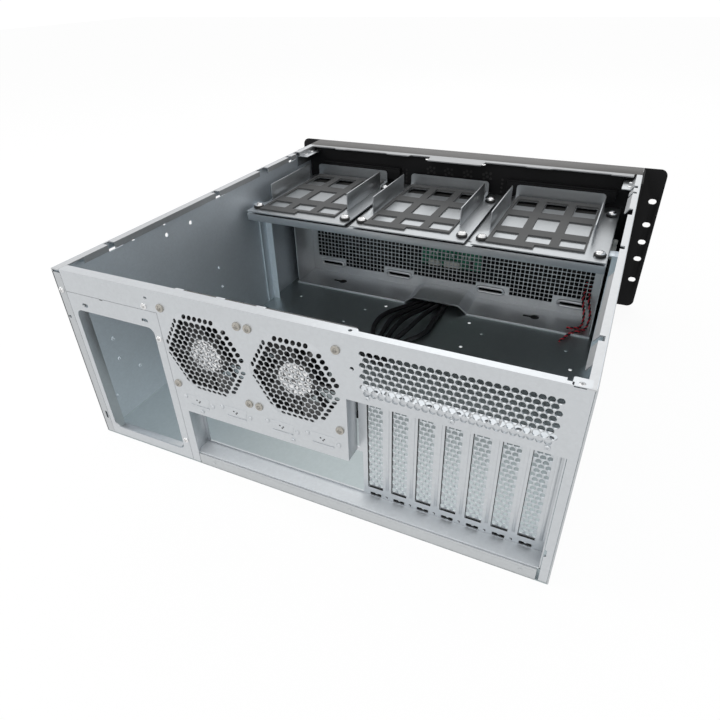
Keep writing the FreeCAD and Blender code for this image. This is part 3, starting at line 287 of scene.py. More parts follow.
# Lit and shaded copies of one zinc. The first number of each is painted light and shade: it makes a copy
# lighter or darker by how light falls where its sheets lie. The shell and ledge copies are lit up, the floor,
# tray, rail and slot roof copies darkened, and the covers' darker tone is partly painted recess shade and
# partly their own duller finish.
ZINC_LIT_AND_SHADED_COPIES = {
    "zinc_panel": (0.91, (0.985, 1.0, 1.01), 0.38, (1.0, 60.0, 60.0)),
    "zinc_cover": (0.88, (0.97, 1.0, 1.02), 0.40, (60.0, 60.0, 1.0)),
    "zinc_shell": (1.2, (0.95, 1.0, 1.04), 0.50, (60.0, 1.0, 60.0)),
    "zinc_ledge": (1.1, (0.985, 1.0, 1.01), 0.62, (60.0, 1.0, 1.0)),
    "zinc_lip": (0.86, (1.0, 1.0, 1.0), 0.44, (60.0, 1.0, 60.0)),
    "zinc_floor": (0.72, (0.93, 1.02, 1.02), 0.42, (60.0, 1.0, 60.0)),
    "zinc_tray": (0.67, (0.98, 1.0, 1.01), 0.36, (60.0, 1.0, 60.0)),
    "zinc_guard": (0.98, (1.0, 1.0, 1.0), 0.44, (1.0, 60.0, 60.0)),
    "zinc_rail": (0.52, (1.0, 1.0, 1.0), 0.44, (1.0, 60.0, 60.0)),
}


def zinc(name):
    """A sheet's finish by its strength, which is painted light and shade, its tint, roughness and rolling
    direction.
    """
    strength, tint, roughness, rolled = ZINC_LIT_AND_SHADED_COPIES[name]
    # Only the shell gets an outer tone: its inner faces carry the lit-up copy as painted light.
    outer_plain_tone = zinc_lit_or_shaded(0.86, (0.99, 1.0, 1.0)) if name == "zinc_shell" else None
    return rolled_zinc(name, zinc_lit_or_shaded(strength, tint), roughness, rolled, outer_plain_tone)


def powder_coat(name, colour, roughness, gloss):
    """Black powder paint with its fine orange-peel grain, a little paler on top of the grain."""
    finish = Finish(bpy.data.materials.new(name))
    peel = finish.noise(900.0, 2.0)
    cloud = finish.noise(20.0, 2.0)
    base = finish.blend(cloud * 0.6 + peel * 0.4, tinted(colour, 0.75), tinted(colour, 1.5))
    rough = peel * 0.16 + (roughness - 0.08)
    relief = finish.bump(peel, 0.25, 0.0002)
    return finish.end({"Base Color": base, "Roughness": rough, "Normal": relief,
                       "Specular IOR Level": gloss})


def black_paint(name):
    return powder_coat(name, colours().paint, 0.54, 0.16)


def bezel_paint(name):
    return powder_coat(name, colours().bezel, 0.40, 0.4)


def moulded(name, colour, roughness, grain):
    """Moulded plastic or rubber with a faint grain."""
    finish = Finish(bpy.data.materials.new(name))
    texture = finish.noise(grain, 2.0)
    cloud = finish.noise(30.0, 2.0)
    base = finish.blend(cloud * 0.5 + texture * 0.5, tinted(colour, 0.8), tinted(colour, 1.2))
    rough = texture * 0.14 + (roughness - 0.07)
    relief = finish.bump(texture, 0.12, 0.0002)
    return finish.end({"Base Color": base, "Roughness": rough, "Normal": relief})


MOULDED_FINISHES = {
    "fan_plastic": ((0.014, 0.014, 0.015), 0.34, 300.0),
    "pad_plastic": ("pad", 0.62, 700.0),
    "grommet_rubber": ((0.010, 0.010, 0.010), 0.58, 700.0),
    "lead_jacket": ((0.006, 0.006, 0.007), 0.46, 700.0),
    "red_wire": ("wire_red", 0.36, 700.0),
    "white_plug": ("plug", 0.38, 300.0),
    "button_cap": ((0.035, 0.035, 0.037), 0.3, 300.0),
    # Painted shade: a near-black finish put where hollows, slits, gaps and holes would lie in shade.
    "hollow_dark": ((0.006, 0.006, 0.006), 0.7, 300.0),
}


def plastic(name):
    """A moulded finish by its colour, or the name of a user's colour, its roughness and its grain."""
    colour, roughness, grain = MOULDED_FINISHES[name]
    if isinstance(colour, str):
        colour = getattr(colours(), colour)
    return moulded(name, colour, roughness, grain)


def turned_metal(name, colour, roughness):
    """Plated steel of the small screws."""
    finish = Finish(bpy.data.materials.new(name))
    cloud = finish.noise(300.0, 2.0)
    base = finish.blend(cloud, tinted(colour, 0.8), tinted(colour, 1.15))
    rough = cloud * 0.15 + (roughness - 0.07)
    return finish.end({"Base Color": base, "Metallic": 1.0, "Roughness": rough})


def bright_plate(name):
    return turned_metal(name, (0.78, 0.78, 0.78), 0.22)


def nickel_plate(name):
    return turned_metal(name, (0.44, 0.42, 0.38), 0.34)


def silver_label(name):
    """Crumpled silver foil with small dark specks."""
    finish = Finish(bpy.data.materials.new(name))
    specks = finish.noise(520.0, 2.0).above(0.56)
    creases = finish.noise(260.0, 3.0)
    base = finish.blend(specks, (0.88, 0.88, 0.88), (0.14, 0.14, 0.14))
    relief = finish.bump(creases, 0.6, 0.0006)
    return finish.end({"Base Color": base, "Metallic": 1.0, "Roughness": 0.32, "Normal": relief})


def board_lacquer(name):
    """Green lacquer over straight copper tracks."""
    finish = Finish(bpy.data.materials.new(name))
    tracks = finish.noise(240.0, 0.0, (0.15, 1.0, 1.0)).above(0.56)
    mottled = finish.noise(90.0, 2.0)
    green = colours().board
    base = finish.blend(tracks * 0.6 + mottled * 0.25, tinted(green, 0.85), tinted(green, 2.2))
    relief = finish.bump(tracks, 0.2, 0.0002)
    return finish.end({"Base Color": base, "Roughness": 0.3, "Normal": relief, "Specular IOR Level": 0.6})


FINISHES = {
    **dict.fromkeys(ZINC_LIT_AND_SHADED_COPIES, zinc), **dict.fromkeys(MOULDED_FINISHES, plastic),
    "black_paint": black_paint, "bezel_paint": bezel_paint, "bright_plate": bright_plate,
    "nickel_plate": nickel_plate, "silver_label": silver_label, "board_lacquer": board_lacquer,
}
made_finishes = {}


def finish_named(name):
    """A finish by name, made once."""
    if name not in made_finishes:
        made_finishes[name] = FINISHES[name](name)
    return made_finishes[name]


# --- Shapes ------------------------------------------------------------------------------


def edges_at(corners):
    """The edges that meet at these corners, each once and always in the same order."""
    return list(dict.fromkeys(edge for corner in corners for edge in corner.link_edges))


def corners_of(edges):
    """The corners these edges run between, each once and always in the same order."""
    return list(dict.fromkeys(corner for edge in edges for corner in edge.verts))


def add_box(shape, across, inward, up, fold=0.0):
    """A block between limits, its edges eased where fold is given."""
    low = spot(across[1], inward[1], up[0])
    high = spot(across[0], inward[0], up[1])
    matrix = Matrix.Translation((low + high) / 2) @ Matrix.Diagonal((*(high - low), 1.0))
    corners = bmesh.ops.create_cube(shape, size=1.0, matrix=matrix)["verts"]
    if fold:
        ease(shape, edges_at(corners), fold)


def ease(shape, edges, reach, steps=2):
    bmesh.ops.bevel(shape, geom=edges, offset=reach * MM, offset_type="OFFSET", segments=steps,
                    profile=0.5, affect="EDGES", material=-1, clamp_overlap=True)


def add_outline(shape, points):
    """A closed run of edges through these points."""
    corners = [shape.verts.new(point) for point in points]
    return [shape.edges.new((corners[index - 1], corners[index])) for index in range(len(corners))]


def add_ring(shape, centre, radius, sides, facing=UPRIGHT):
    """A closed ring of edges, upright against a rear panel or level on a floor."""
    matrix = Matrix.Translation(centre) @ facing
    made = bmesh.ops.create_circle(shape, cap_ends=False, radius=radius * MM, segments=sides, matrix=matrix)
    return edges_at(made["verts"])


def fill(shape, edges):
    """Faces over an outline less the rings inside it."""
    made = bmesh.ops.triangle_fill(shape, use_beauty=True, use_dissolve=False, edges=edges)
    return [item for item in made["geom"] if isinstance(item, bmesh.types.BMFace)]


def thicken(shape, faces, step):
    """Gives a filled sheet its thickness along a step."""
    made = bmesh.ops.extrude_face_region(shape, geom=faces)
    moved = [item for item in made["geom"] if isinstance(item, bmesh.types.BMVert)]
    bmesh.ops.translate(shape, vec=step, verts=moved)


def add_cells(shape, template, centres):
    """A ring of edges copied from a template shape to each centre."""
    rings = []
    for centre in centres:
        made = bmesh.ops.duplicate(shape, geom=template)
        corners = [item for item in made["geom"] if isinstance(item, bmesh.types.BMVert)]
        bmesh.ops.translate(shape, vec=centre, verts=corners)
        rings += [item for item in made["geom"] if isinstance(item, bmesh.types.BMEdge)]
    return rings


def cell_template(shape, width):
    """A six-sided cell with eased corners, upright about the origin."""
    made = bmesh.ops.create_circle(shape, cap_ends=True, radius=width * MM / math.sqrt(3) * 1.04,
                                   segments=6, matrix=UPRIGHT @ Matrix.Rotation(math.pi / 6, 4, "Z"))
    eased = bmesh.ops.bevel(shape, geom=made["verts"], offset=width * MM * 0.13, offset_type="OFFSET",
                            segments=1, profile=0.5, affect="VERTICES", material=-1, clamp_overlap=True)
    face = eased["verts"][0].link_faces[0]
    corners = list(face.verts)
    return corners + open_ring(shape, face)


def staggered(width, height, pitch):
    """Offsets of a honeycomb about the middle of a strip of that size."""
    row_step = pitch * math.sqrt(3) / 2
    rows = int(height / row_step) + 1
    columns = int(width / pitch) + 1
    found = []
    for row in range(rows):
        up = (row - (rows - 1) / 2) * row_step
        count = columns - row % 2
        for column in range(count):
            found.append(((column - (count - 1) / 2) * pitch, up))
    return found


def solid_copy(*names):
    """A merged copy of the CAD solids, in one shape."""
    shape = bmesh.new()
    for name in names:
        shape.from_mesh(solids[name].data)
    bmesh.ops.remove_doubles(shape, verts=shape.verts[:], dist=2e-6)
    bmesh.ops.dissolve_limit(shape, angle_limit=math.radians(0.5), use_dissolve_boundaries=False,
                             verts=shape.verts[:], edges=shape.edges[:])
    return shape


def fold_edges(shape, reach):
    """Eases the sharp edges of a solid copy."""
    limit = math.radians(SHARP_FOLD)
    edges = [edge for edge in shape.edges
             if len(edge.link_faces) == 2 and edge.calc_face_angle(0.0) > limit]
    ease(shape, edges, reach)


def finished(name, shape, finish, body="case", stands_for=(), corner=30.0):
    """Turns a shape into a piece that rides on its body."""
    bmesh.ops.recalc_face_normals(shape, faces=shape.faces[:])
    mesh = bpy.data.meshes.new(name)
    shape.to_mesh(mesh)
    shape.free()
    for each in [finish] if isinstance(finish, str) else finish:
        mesh.materials.append(finish_named(each))
    mesh.shade_smooth()
    mesh.set_sharp_from_angle(angle=math.radians(corner))
    piece = bpy.data.objects.new(name, mesh)
    bpy.context.scene.collection.objects.link(piece)
    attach(piece, body)
    if stands_for:
        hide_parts(*stands_for)
    return piece


def dress(name, finish, nodes, body="case", fold=None):
    """A folded or moulded solid with its edges eased, in place of the plain one."""
    shape = solid_copy(*nodes)
    fold_edges(shape, fold or sizes().fold)
    return finished(name, shape, finish, body, nodes)


REARWARD = Matrix.Rotation(-math.pi / 2, 4, "X")
FRONTWARD = Matrix.Rotation(math.pi / 2, 4, "X")
UPWARD = Matrix()
NEARWARD = Matrix.Rotation(math.pi / 2, 4, "Y")
FARWARD = Matrix.Rotation(-math.pi / 2, 4, "Y")


def set_in(shape, part, seat, facing):
    """Moves a small part made at the origin to its seat and adds it to a shape."""
    bmesh.ops.transform(part, matrix=Matrix.Translation(seat) @ facing, verts=part.verts[:])
    mesh = bpy.data.meshes.new("part")
    part.to_mesh(mesh)
    part.free()
    shape.from_mesh(mesh)
    bpy.data.meshes.remove(mesh)


def add_turned(shape, profile, seat, facing, steps=18):
    """A turned part from (radius, height) points."""
    part = bmesh.new()
    corners = [part.verts.new((radius * MM, 0.0, height * MM)) for radius, height in profile]
    edges = [part.edges.new(pair) for pair in zip(corners, corners[1:])]
    bmesh.ops.spin(part, geom=corners + edges, cent=(0.0, 0.0, 0.0), axis=(0.0, 0.0, 1.0),
                   dvec=(0.0, 0.0, 0.0), angle=2 * math.pi, steps=steps, use_merge=True)
    bmesh.ops.remove_doubles(part, verts=part.verts[:], dist=1e-7)
    set_in(shape, part, seat, facing)


def rivet_profile(radius, height):
    return [(0, height * 0.35), (radius * 0.3, height * 0.35), (radius * 0.42, height * 0.9),
            (radius * 0.75, height), (radius * 0.95, height * 0.6), (radius, -0.2), (0, -0.2)]


def stud_profile(radius, height):
    return [(0, height), (radius * 0.45, height * 0.97), (radius * 0.8, height * 0.7), (radius, -0.1),
            (0, -0.1)]


def add_screw(shape, seat, facing, radius, height):
    """A pan head with a cross recess."""
    part = bmesh.new()
    bmesh.ops.create_grid(part, x_segments=5, y_segments=5, size=radius * 0.7 * MM)
    rim = [edge for edge in part.edges if edge.is_boundary]
    for corner in corners_of(rim):
        corner.co = corner.co.normalized() * radius * 0.72 * MM
    width = radius * 0.16 * MM
    reach = radius * 0.45 * MM
    middles = {face: face.calc_center_median() for face in part.faces}
    cross = [face for face, place in middles.items()
             if min(abs(place.x), abs(place.y)) < width and max(abs(place.x), abs(place.y)) < reach]
    for share, drop in ((0.93, 0.18), (1.0, 0.5), (1.0, 1.1)):
        made = bmesh.ops.extrude_edge_only(part, edges=rim)["geom"]
        corners = [item for item in made if isinstance(item, bmesh.types.BMVert)]
        rim = [item for item in made if isinstance(item, bmesh.types.BMEdge) and item.is_boundary]
        for corner in corners:
            corner.co = Vector((corner.co.x, corner.co.y, 0.0)).normalized() * radius * share * MM
            corner.co.z = -height * drop * MM
    bmesh.ops.contextual_create(part, geom=rim)
    made = bmesh.ops.extrude_face_region(part, geom=cross)["geom"]
    for corner in [item for item in made if isinstance(item, bmesh.types.BMVert)]:
        corner.co = corner.co * 0.85
        corner.co.z = -height * 0.6 * MM
    set_in(shape, part, seat + facing.to_3x3() @ Vector((0.0, 0.0, height * MM)), facing)


class CasePiece:
    """What the case's operators have in common."""

    bl_options = {"REGISTER", "UNDO"}

    def execute(self, context):
        self.build()
        return {"FINISHED"}


# --- Stage and leads ---------------------------------------------------------------------


class CASE_OT_stage(CasePiece, bpy.types.Operator):
    """Floor, world, lamps and camera"""

    bl_idname = "case.stage"
    bl_label = "Stage"

    def build(self):
        scene = bpy.context.scene
        scene.view_settings.view_transform = "Standard"
        self.camera(scene)
        self.floor(scene)
        self.world(scene)
        self.lamp(scene, "key_lamp", (-0.3, 1.5, 1.8), 1.2, 6.5)
        self.lamp(scene, "side_lamp", (1.6, 0.5, 1.2), 1.0, 5.0)
        self.lamp(scene, "front_lamp", (0.3, -1.6, 1.3), 1.2, 4.0)

    def camera(self, scene):
        data = bpy.data.cameras.new("case_camera")
        data.lens = 28.59
        data.sensor_width = 36.0
        data.shift_x = -0.00035
        data.shift_y = 0.00315
        data.clip_end = 20.0
        camera = bpy.data.objects.new("case_camera", data)
        camera.location = (-0.20705, 0.51938, 0.37145)
        camera.rotation_euler = (math.radians(55.8898), math.radians(1.4053), math.radians(-154.9082))
        scene.collection.objects.link(camera)
        scene.camera = camera

    def floor(self, scene):
        shape = bmesh.new()
        bmesh.ops.create_grid(shape, x_segments=1, y_segments=1, size=6.0)
        mesh = bpy.data.meshes.new("floor")
        shape.to_mesh(mesh)
        shape.free()
        finish = Finish(bpy.data.materials.new("pale_floor"))
        seen = self.seen_rays(finish)
        matt = finish.add("ShaderNodeBsdfDiffuse", None, {"Color": (0.92, 0.92, 0.92)})
        white = finish.add("ShaderNodeEmission", None, {"Color": (1.0, 1.0, 1.0), "Strength": 1.04})
        mixed = finish.add("ShaderNodeMixShader", None, {0: seen * 0.88, 1: matt, 2: white})
        finish.close(mixed)
        mesh.materials.append(finish.material)
        floor = bpy.data.objects.new("floor", mesh)
        floor.location.z = -0.0002
        scene.collection.objects.link(floor)

    def seen_rays(self, finish):
        camera = finish.add("ShaderNodeLightPath", None, None, "Is Camera Ray")
        glossy = finish.add("ShaderNodeLightPath", None, None, "Is Glossy Ray")
        through = finish.add("ShaderNodeLightPath", None, None, "Is Transmission Ray")
        rays = camera + glossy + through
        return rays.math("MINIMUM", rays, 1.0)

    def world(self, scene):
        world = bpy.data.worlds.new("studio")
        scene.world = world
        finish = Finish(world)
        seen = self.seen_rays(finish)
        strength = seen * 0.43 + 0.6
        light = finish.add("ShaderNodeBackground", None, {"Color": (1.0, 1.0, 1.0), "Strength": strength})
        finish.close(light, "ShaderNodeOutputWorld")

    def lamp(self, scene, name, place, size, power):
        data = bpy.data.lights.new(name, "AREA")
        data.size = size
        data.energy = power
        lamp = bpy.data.objects.new(name, data)
        lamp.location = place
        lamp.rotation_euler = (Vector(place) * -1).to_track_quat("-Z", "Y").to_euler()
        scene.collection.objects.link(lamp)


LEAD_COUNT = 5
LEAD_RISE = 4.4
LEAD_PITCH = 7.8
LEAD_ACROSS = 217.0
LEAD_RADIUS = 3.0
SIDE_LEAD_RADIUS = 2.6
GUARD_FACE = 411.0
PANEL_INNER = 437.8
STRAND_RADIUS = 0.9
STRAND_REACH = 0.85
STRAND_LAY = 9.0
STRAND_SIDES = 8
SWAY_REACH = 0.9
SWAY_LENGTHS = (6.5, 4.8)
SWAY_START = 20


LEAD_BOWS = ((-17, -27, -17), (-12, -20, -9), (-5, -10, -4), (-1, 0, 7), (2, 9, 20))
LEAD_LIFTS = (0.0, 0.0, 3.0, 5.0, 1.5)


def floor_lead_route(index):
    """From the front panel through the tunnel, bowed out on the floor, to its plug."""
    beside = LEAD_ACROSS + LEAD_PITCH * (index - 2)
    first, second, third = LEAD_BOWS[index]
    high = LEAD_RISE + LEAD_LIFTS[index]
    end = GUARD_FACE - 176 - 3 * index
    return [
        (beside, PANEL_INNER, LEAD_RISE), (beside, GUARD_FACE - 10, LEAD_RISE),
        (beside - 1, GUARD_FACE - 40, LEAD_RISE), (beside - 3 + first, GUARD_FACE - 66, high),
        (beside - 11 + second, GUARD_FACE - 94, high), (beside - 21 + third, GUARD_FACE - 126, high),
        (beside - 25, GUARD_FACE - 156, LEAD_RISE), (beside - 25, end, LEAD_RISE),
    ]


WIRE_FOOT = 4.0
WIRE_ROUTES = [
    [
        (397, PANEL_INNER, 37), (397, GUARD_FACE + 6, 37), (396.5, GUARD_FACE - 6, 35.5),
        (400, GUARD_FACE - 14, 23), (403.5, GUARD_FACE - 20, 11), (403, GUARD_FACE - 28, WIRE_FOOT + 1),
        (397, GUARD_FACE - 36, WIRE_FOOT), (387, GUARD_FACE - 41, WIRE_FOOT),
    ],
    [
        (402.5, PANEL_INNER, 36), (402.5, GUARD_FACE + 6, 36), (403, GUARD_FACE - 5, 34.5),
        (407, GUARD_FACE - 12, 24), (410, GUARD_FACE - 19, 12), (409.5, GUARD_FACE - 29, WIRE_FOOT + 1.5),
        (404, GUARD_FACE - 40, WIRE_FOOT), (395, GUARD_FACE - 50, WIRE_FOOT),
        (386, GUARD_FACE - 61, WIRE_FOOT), (383, GUARD_FACE - 73, WIRE_FOOT),
    ],
]
SIDE_ACROSS = 418.0
SIDE_ROUTE = [
    (SIDE_ACROSS, PANEL_INNER, 12), (SIDE_ACROSS, GUARD_FACE + 8, 12), (SIDE_ACROSS, GUARD_FACE - 10, 25),
    (SIDE_ACROSS, GUARD_FACE - 11, 44), (SIDE_ACROSS, GUARD_FACE - 11, 68),
]


def lead_curve(name, route, radius=0.0):
    """A smooth line with the route's points as its control points."""
    curve = bpy.data.curves.new(name, "CURVE")
    curve.dimensions = "3D"
    curve.resolution_u = 12
    curve.bevel_depth = radius * MM
    curve.bevel_resolution = 5
    curve.use_fill_caps = True
    line = curve.splines.new("NURBS")
    line.points.add(len(route) - 1)
    for point, place in zip(line.points, route):
        point.co = (*spot(*place), 1.0)
    line.order_u = 3
    line.use_endpoint_u = True
    piece = bpy.data.objects.new(name, curve)
    bpy.context.scene.collection.objects.link(piece)
    return piece


def read_line(route):
    """Points along a route's smooth line, and its length in metres."""
    piece = lead_curve("reading", route)
    bpy.context.view_layer.update()
    mesh = bpy.data.meshes.new_from_object(piece)
    points = [corner.co.copy() for corner in mesh.vertices]
    bpy.data.objects.remove(piece)
    bpy.data.meshes.remove(mesh)
    length = sum((after - before).length for before, after in zip(points, points[1:]))
    return points, length


def plain_lead(name, route, radius, finish, node):
    """One round lead in place of its solid tube."""
    length = read_line(route)[1]
    piece = lead_curve(name, route, radius)
    piece.data.materials.append(finish_named(finish))
    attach(piece, "case")
    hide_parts(node)
    spot(*route[0])


def twisted_pair(name, route, node):
    """Two insulated strands wound about each other along a route."""
    points, length = read_line(route)
    shape = bmesh.new()
    strand = STRAND_RADIUS * MM
    reach = STRAND_REACH * MM
    lay = STRAND_LAY * MM
    long_sway, short_sway = (length_of * MM for length_of in SWAY_LENGTHS)
    for number in range(2):
        run = 0.0
        rings = []
        across = None
        for index, point in enumerate(points):
            if index:
                run += (point - points[index - 1]).length
            ahead = points[min(index + 1, len(points) - 1)] - points[max(index - 1, 0)]
            ahead.normalize()
            across = ahead.orthogonal().normalized() if across is None else (
                across - ahead * across.dot(ahead)).normalized()
            side = ahead.cross(across)
            angle = 2 * math.pi * run / lay + math.pi * number
            centre = point + (across * math.cos(angle) + side * math.sin(angle)) * reach
            fade = min(1.0, run / (SWAY_START * MM))
            sway = across * math.sin(run / long_sway) + side * math.sin(run / short_sway)
            centre += sway * SWAY_REACH * MM * fade
            matrix = Matrix.Translation(centre) @ Matrix((across, side, ahead)).transposed().to_4x4()
            made = bmesh.ops.create_circle(shape, cap_ends=False, radius=strand, segments=STRAND_SIDES,
                                           matrix=matrix)
            rings.append(made["verts"])
        for before, after in zip(rings, rings[1:]):
            edges = [edge for ring in (before, after) for edge in edges_at(ring)
                     if all(corner in ring for corner in edge.verts)]
            faces = bmesh.ops.bridge_loops(shape, edges=edges)["faces"]
            for face in faces:
                face.material_index = number
        for ring in (rings[0], rings[-1]):
            shape.faces.new(ring).material_index = number
    piece = finished(name, shape, ["red_wire", "lead_jacket"], "case", [node], 60.0)
    spot(*route[0])


class CASE_OT_leads(CasePiece, bpy.types.Operator):
    """Leads, wire pairs and their plugs"""

    bl_idname = "case.leads"
    bl_label = "Leads"

    def build(self):
        for index in range(LEAD_COUNT):
            plug = self.header(index)
            plain_lead("floor_cable_%d" % (index + 1), floor_lead_route(index), LEAD_RADIUS, "lead_jacket",
                       "floor_lead_%d" % (index + 1))
        for index, route in enumerate(WIRE_ROUTES):
            twisted_pair("twisted_wires_%d" % (index + 1), route, "wire_pair_%d" % (index + 1))
        boot = self.boot()
        plug = self.standing_plug()
        plain_lead("side_cable", SIDE_ROUTE, SIDE_LEAD_RADIUS, "lead_jacket", "side_lead")

    def header(self, index):
        """A small black header plug with a latch rib and pin windows."""
        across, inward, _ = floor_lead_route(index)[-1]
        shape = bmesh.new()
        add_box(shape, (across - 3, across + 3), (inward - 16, inward), (1.5, 6.1), 0.4)
        add_box(shape, (across - 1.2, across + 1.2), (inward - 14, inward - 5), (6.0, 6.2), 0.1)
        for side in (-1.6, 1.6):
            add_box(shape, (across + side - 0.5, across + side + 0.5), (inward - 16.0, inward - 15.9),
                    (2.6, 5.0), 0.0)
        stands_for = ["lead_plugs"] if index == 0 else []
        return finished("header_plug_%d" % (index + 1), shape, "fan_plastic",
                        stands_for=stands_for)

    def boot(self):
        """The ribbed black sleeve at the side cable's end."""
        shape = bmesh.new()
        low, high = spans("side_boot")[2]
        inward = spans("side_boot")[1]
        add_box(shape, (SIDE_ACROSS - 2.8, SIDE_ACROSS + 3.2), inward, (low, high), 0.9)
        for level in (3, 8, 13):
            add_box(shape, (SIDE_ACROSS - 3.0, SIDE_ACROSS + 3.4), (inward[0], inward[0] + 3),
                    (low + level, low + level + 2.4), 0.4)
        return finished("cable_boot", shape, "lead_jacket", stands_for=["side_boot"])

    def standing_plug(self):
        """The white plug: a keyed block with a round crown."""
        shape = bmesh.new()
        low, high = spans("side_plug")[2]
        inward = spans("side_plug")[1]
        near, far = SIDE_ACROSS - 2.7, SIDE_ACROSS + 2.9
        add_box(shape, (near, far), inward, (low, high - 8.6), 0.6)
        crown = [(0, 8.4), (2.2, 8.4), (2.9, 7.6), (2.9, 3.4), (2.3, 2.6), (2.3, -0.3), (0, -0.3)]
        add_turned(shape, crown, spot(SIDE_ACROSS + 0.1, middle(inward), high - 8.6), UPWARD, 20)
        for level in (3.5, 8.0):
            add_box(shape, (near + 0.8, far - 0.8), (inward[0] - 0.3, inward[0] + 0.3),
                    (low + level, low + level + 1.4), 0.1)
        return finished("standing_plug", shape, "white_plug", "case", ["side_plug"])


INWARD = Vector((0.0, -MM, 0.0))
DOWNWARD = Vector((0.0, 0.0, -MM))
NEARER = Vector((MM, 0.0, 0.0))


def add_run(shape, plane, corners):
    """A closed run of edges through flat places set in a plane."""
    return add_outline(shape, [plane(first, second) for first, second in corners])


def rear_plane(inward):
    return lambda across, up: spot(across, inward, up)


def level_plane(up):
    return lambda across, inward: spot(across, inward, up)


def side_plane(across):
    return lambda inward, up: spot(across, inward, up)


SIDEWAYS = Matrix.Rotation(math.pi / 2, 4, "Z") @ Matrix.Rotation(math.pi / 2, 4, "X")


def add_window(shape, centre, width, height, radius, facing=UPRIGHT, steps=4):
    """A closed ring of edges: a rectangle with rounded corners."""
    matrix = Matrix.Translation(centre) @ facing @ Matrix.Diagonal((width * MM, height * MM, 1.0, 1.0))
    made = bmesh.ops.create_grid(shape, x_segments=1, y_segments=1, size=0.5, matrix=matrix)["verts"]
    made = bmesh.ops.bevel(shape, geom=made, offset=radius * MM, offset_type="OFFSET",
                           segments=steps, profile=0.5, affect="VERTICES", material=-1,
                           clamp_overlap=True)
    return open_ring(shape, made["verts"][0].link_faces[0])


def open_ring(shape, face):
    """Takes a face away and leaves its edges."""
    edges = list(face.edges)
    bmesh.ops.delete(shape, geom=[face], context="FACES_ONLY")
    return edges


def add_sheet(shape, outline, step):
    """A sheet over an outline and the rings inside it, as thick as the step."""
    thicken(shape, fill(shape, outline), step)


def add_loft(shape, loops):
    """A closed skin through loops of as many points each, capped at both ends."""
    rings = [add_outline(shape, points) for points in loops]
    for before, after in zip(rings, rings[1:]):
        bmesh.ops.bridge_loops(shape, edges=before + after)
    for ring in (rings[0], rings[-1]):
        bmesh.ops.contextual_create(shape, geom=ring)


def add_band(shape, loops):
    """A closed band through loops, the last joined to the first."""
    rings = [add_outline(shape, points) for points in loops]
    for index in range(len(rings)):
        bmesh.ops.bridge_loops(shape, edges=rings[index - 1] + rings[index])


def add_rivets(shape, places, facing, radius=2.0, height=0.7):
    for place in places:
        add_turned(shape, rivet_profile(radius, height), spot(*place), facing, 14)


# --- Rear panel --------------------------------------------------------------------------


def soft_hexagon(centre, radius, inward, corner=5.0):
    """A flat-topped hexagon about a fan with short arcs at its corners."""
    points = []
    reach = radius - corner / math.cos(math.radians(30))
    for step in range(6):
        for turn in (-20, 0, 20):
            hub = math.radians(60 * step)
            angle = math.radians(60 * step + turn)
            points.append(spot(
                centre + reach * math.cos(hub) + corner * math.cos(angle), inward,
                FAN_UP + reach * math.sin(hub) + corner * math.sin(angle)))
    return points


def cell_places(centre, inward):
    """The middles of one grille's cells: thirteen rows, thirteen in the middle one."""
    pitch = sizes().grille_pitch
    places = []
    for row in range(-6, 7):
        count = 13 - abs(row)
        for column in range(count):
            places.append(spot(centre + (column - (count - 1) / 2) * pitch, inward,
                               FAN_UP + row * pitch * math.sqrt(3) / 2))
    return places


def cut_cells(shape, width, places):
    """Rings of the cells at their places, from one pattern cell."""
    template = cell_template(shape, width)
    rings = add_cells(shape, template, places)
    corners = [item for item in template if isinstance(item, bmesh.types.BMVert)]
    bmesh.ops.delete(shape, geom=corners, context="VERTS")
    return rings


BOSS_FOOT = 41.8
BOSS_CORNER = 14.0
FLANK_PITCH = 5.05
FLANK_HOLE = 2.0
BOSS_CROWN = 36.0
BOSS_RISE = 1.6
VENT_MIDDLE = 348.25
VENT_TOP_ROW = 163.7
BAND_LOW = 122.4
IO_TOP = 62.0
IO_RIGHT = 271.0
SLOTS_RIGHT = 422.5
STRIP = (107.5, 116.0)
KNOCK_OUTS = (130.8, 168.4, 212.6, 249.2)


def vent_places():
    """The middles of the staggered cells over the slots; the lowest row is shut by the plate behind."""
    pitch = 5.32
    places = []
    for row in range(8):
        count = 25 - row % 2
        for column in range(count):
            places.append(spot(VENT_MIDDLE + (column - (count - 1) / 2) * pitch, 0,
                               VENT_TOP_ROW - row * pitch * math.sqrt(3) / 2))
    return places


def pad_points(centre, up, width, height, inward):
    """The D outline of a connector's pad, wider above than below."""
    half = width / 2
    side = height / 2
    corners = (
        (half, side), (half + 1.1, side - 1.2), (half - 0.9, 1.2 - side), (half - 2.4, -side),
        (2.4 - half, -side), (0.9 - half, 1.2 - side), (-half - 1.1, side - 1.2), (-half, side),
    )
    return [spot(centre + across, inward, up + level) for across, level in corners]


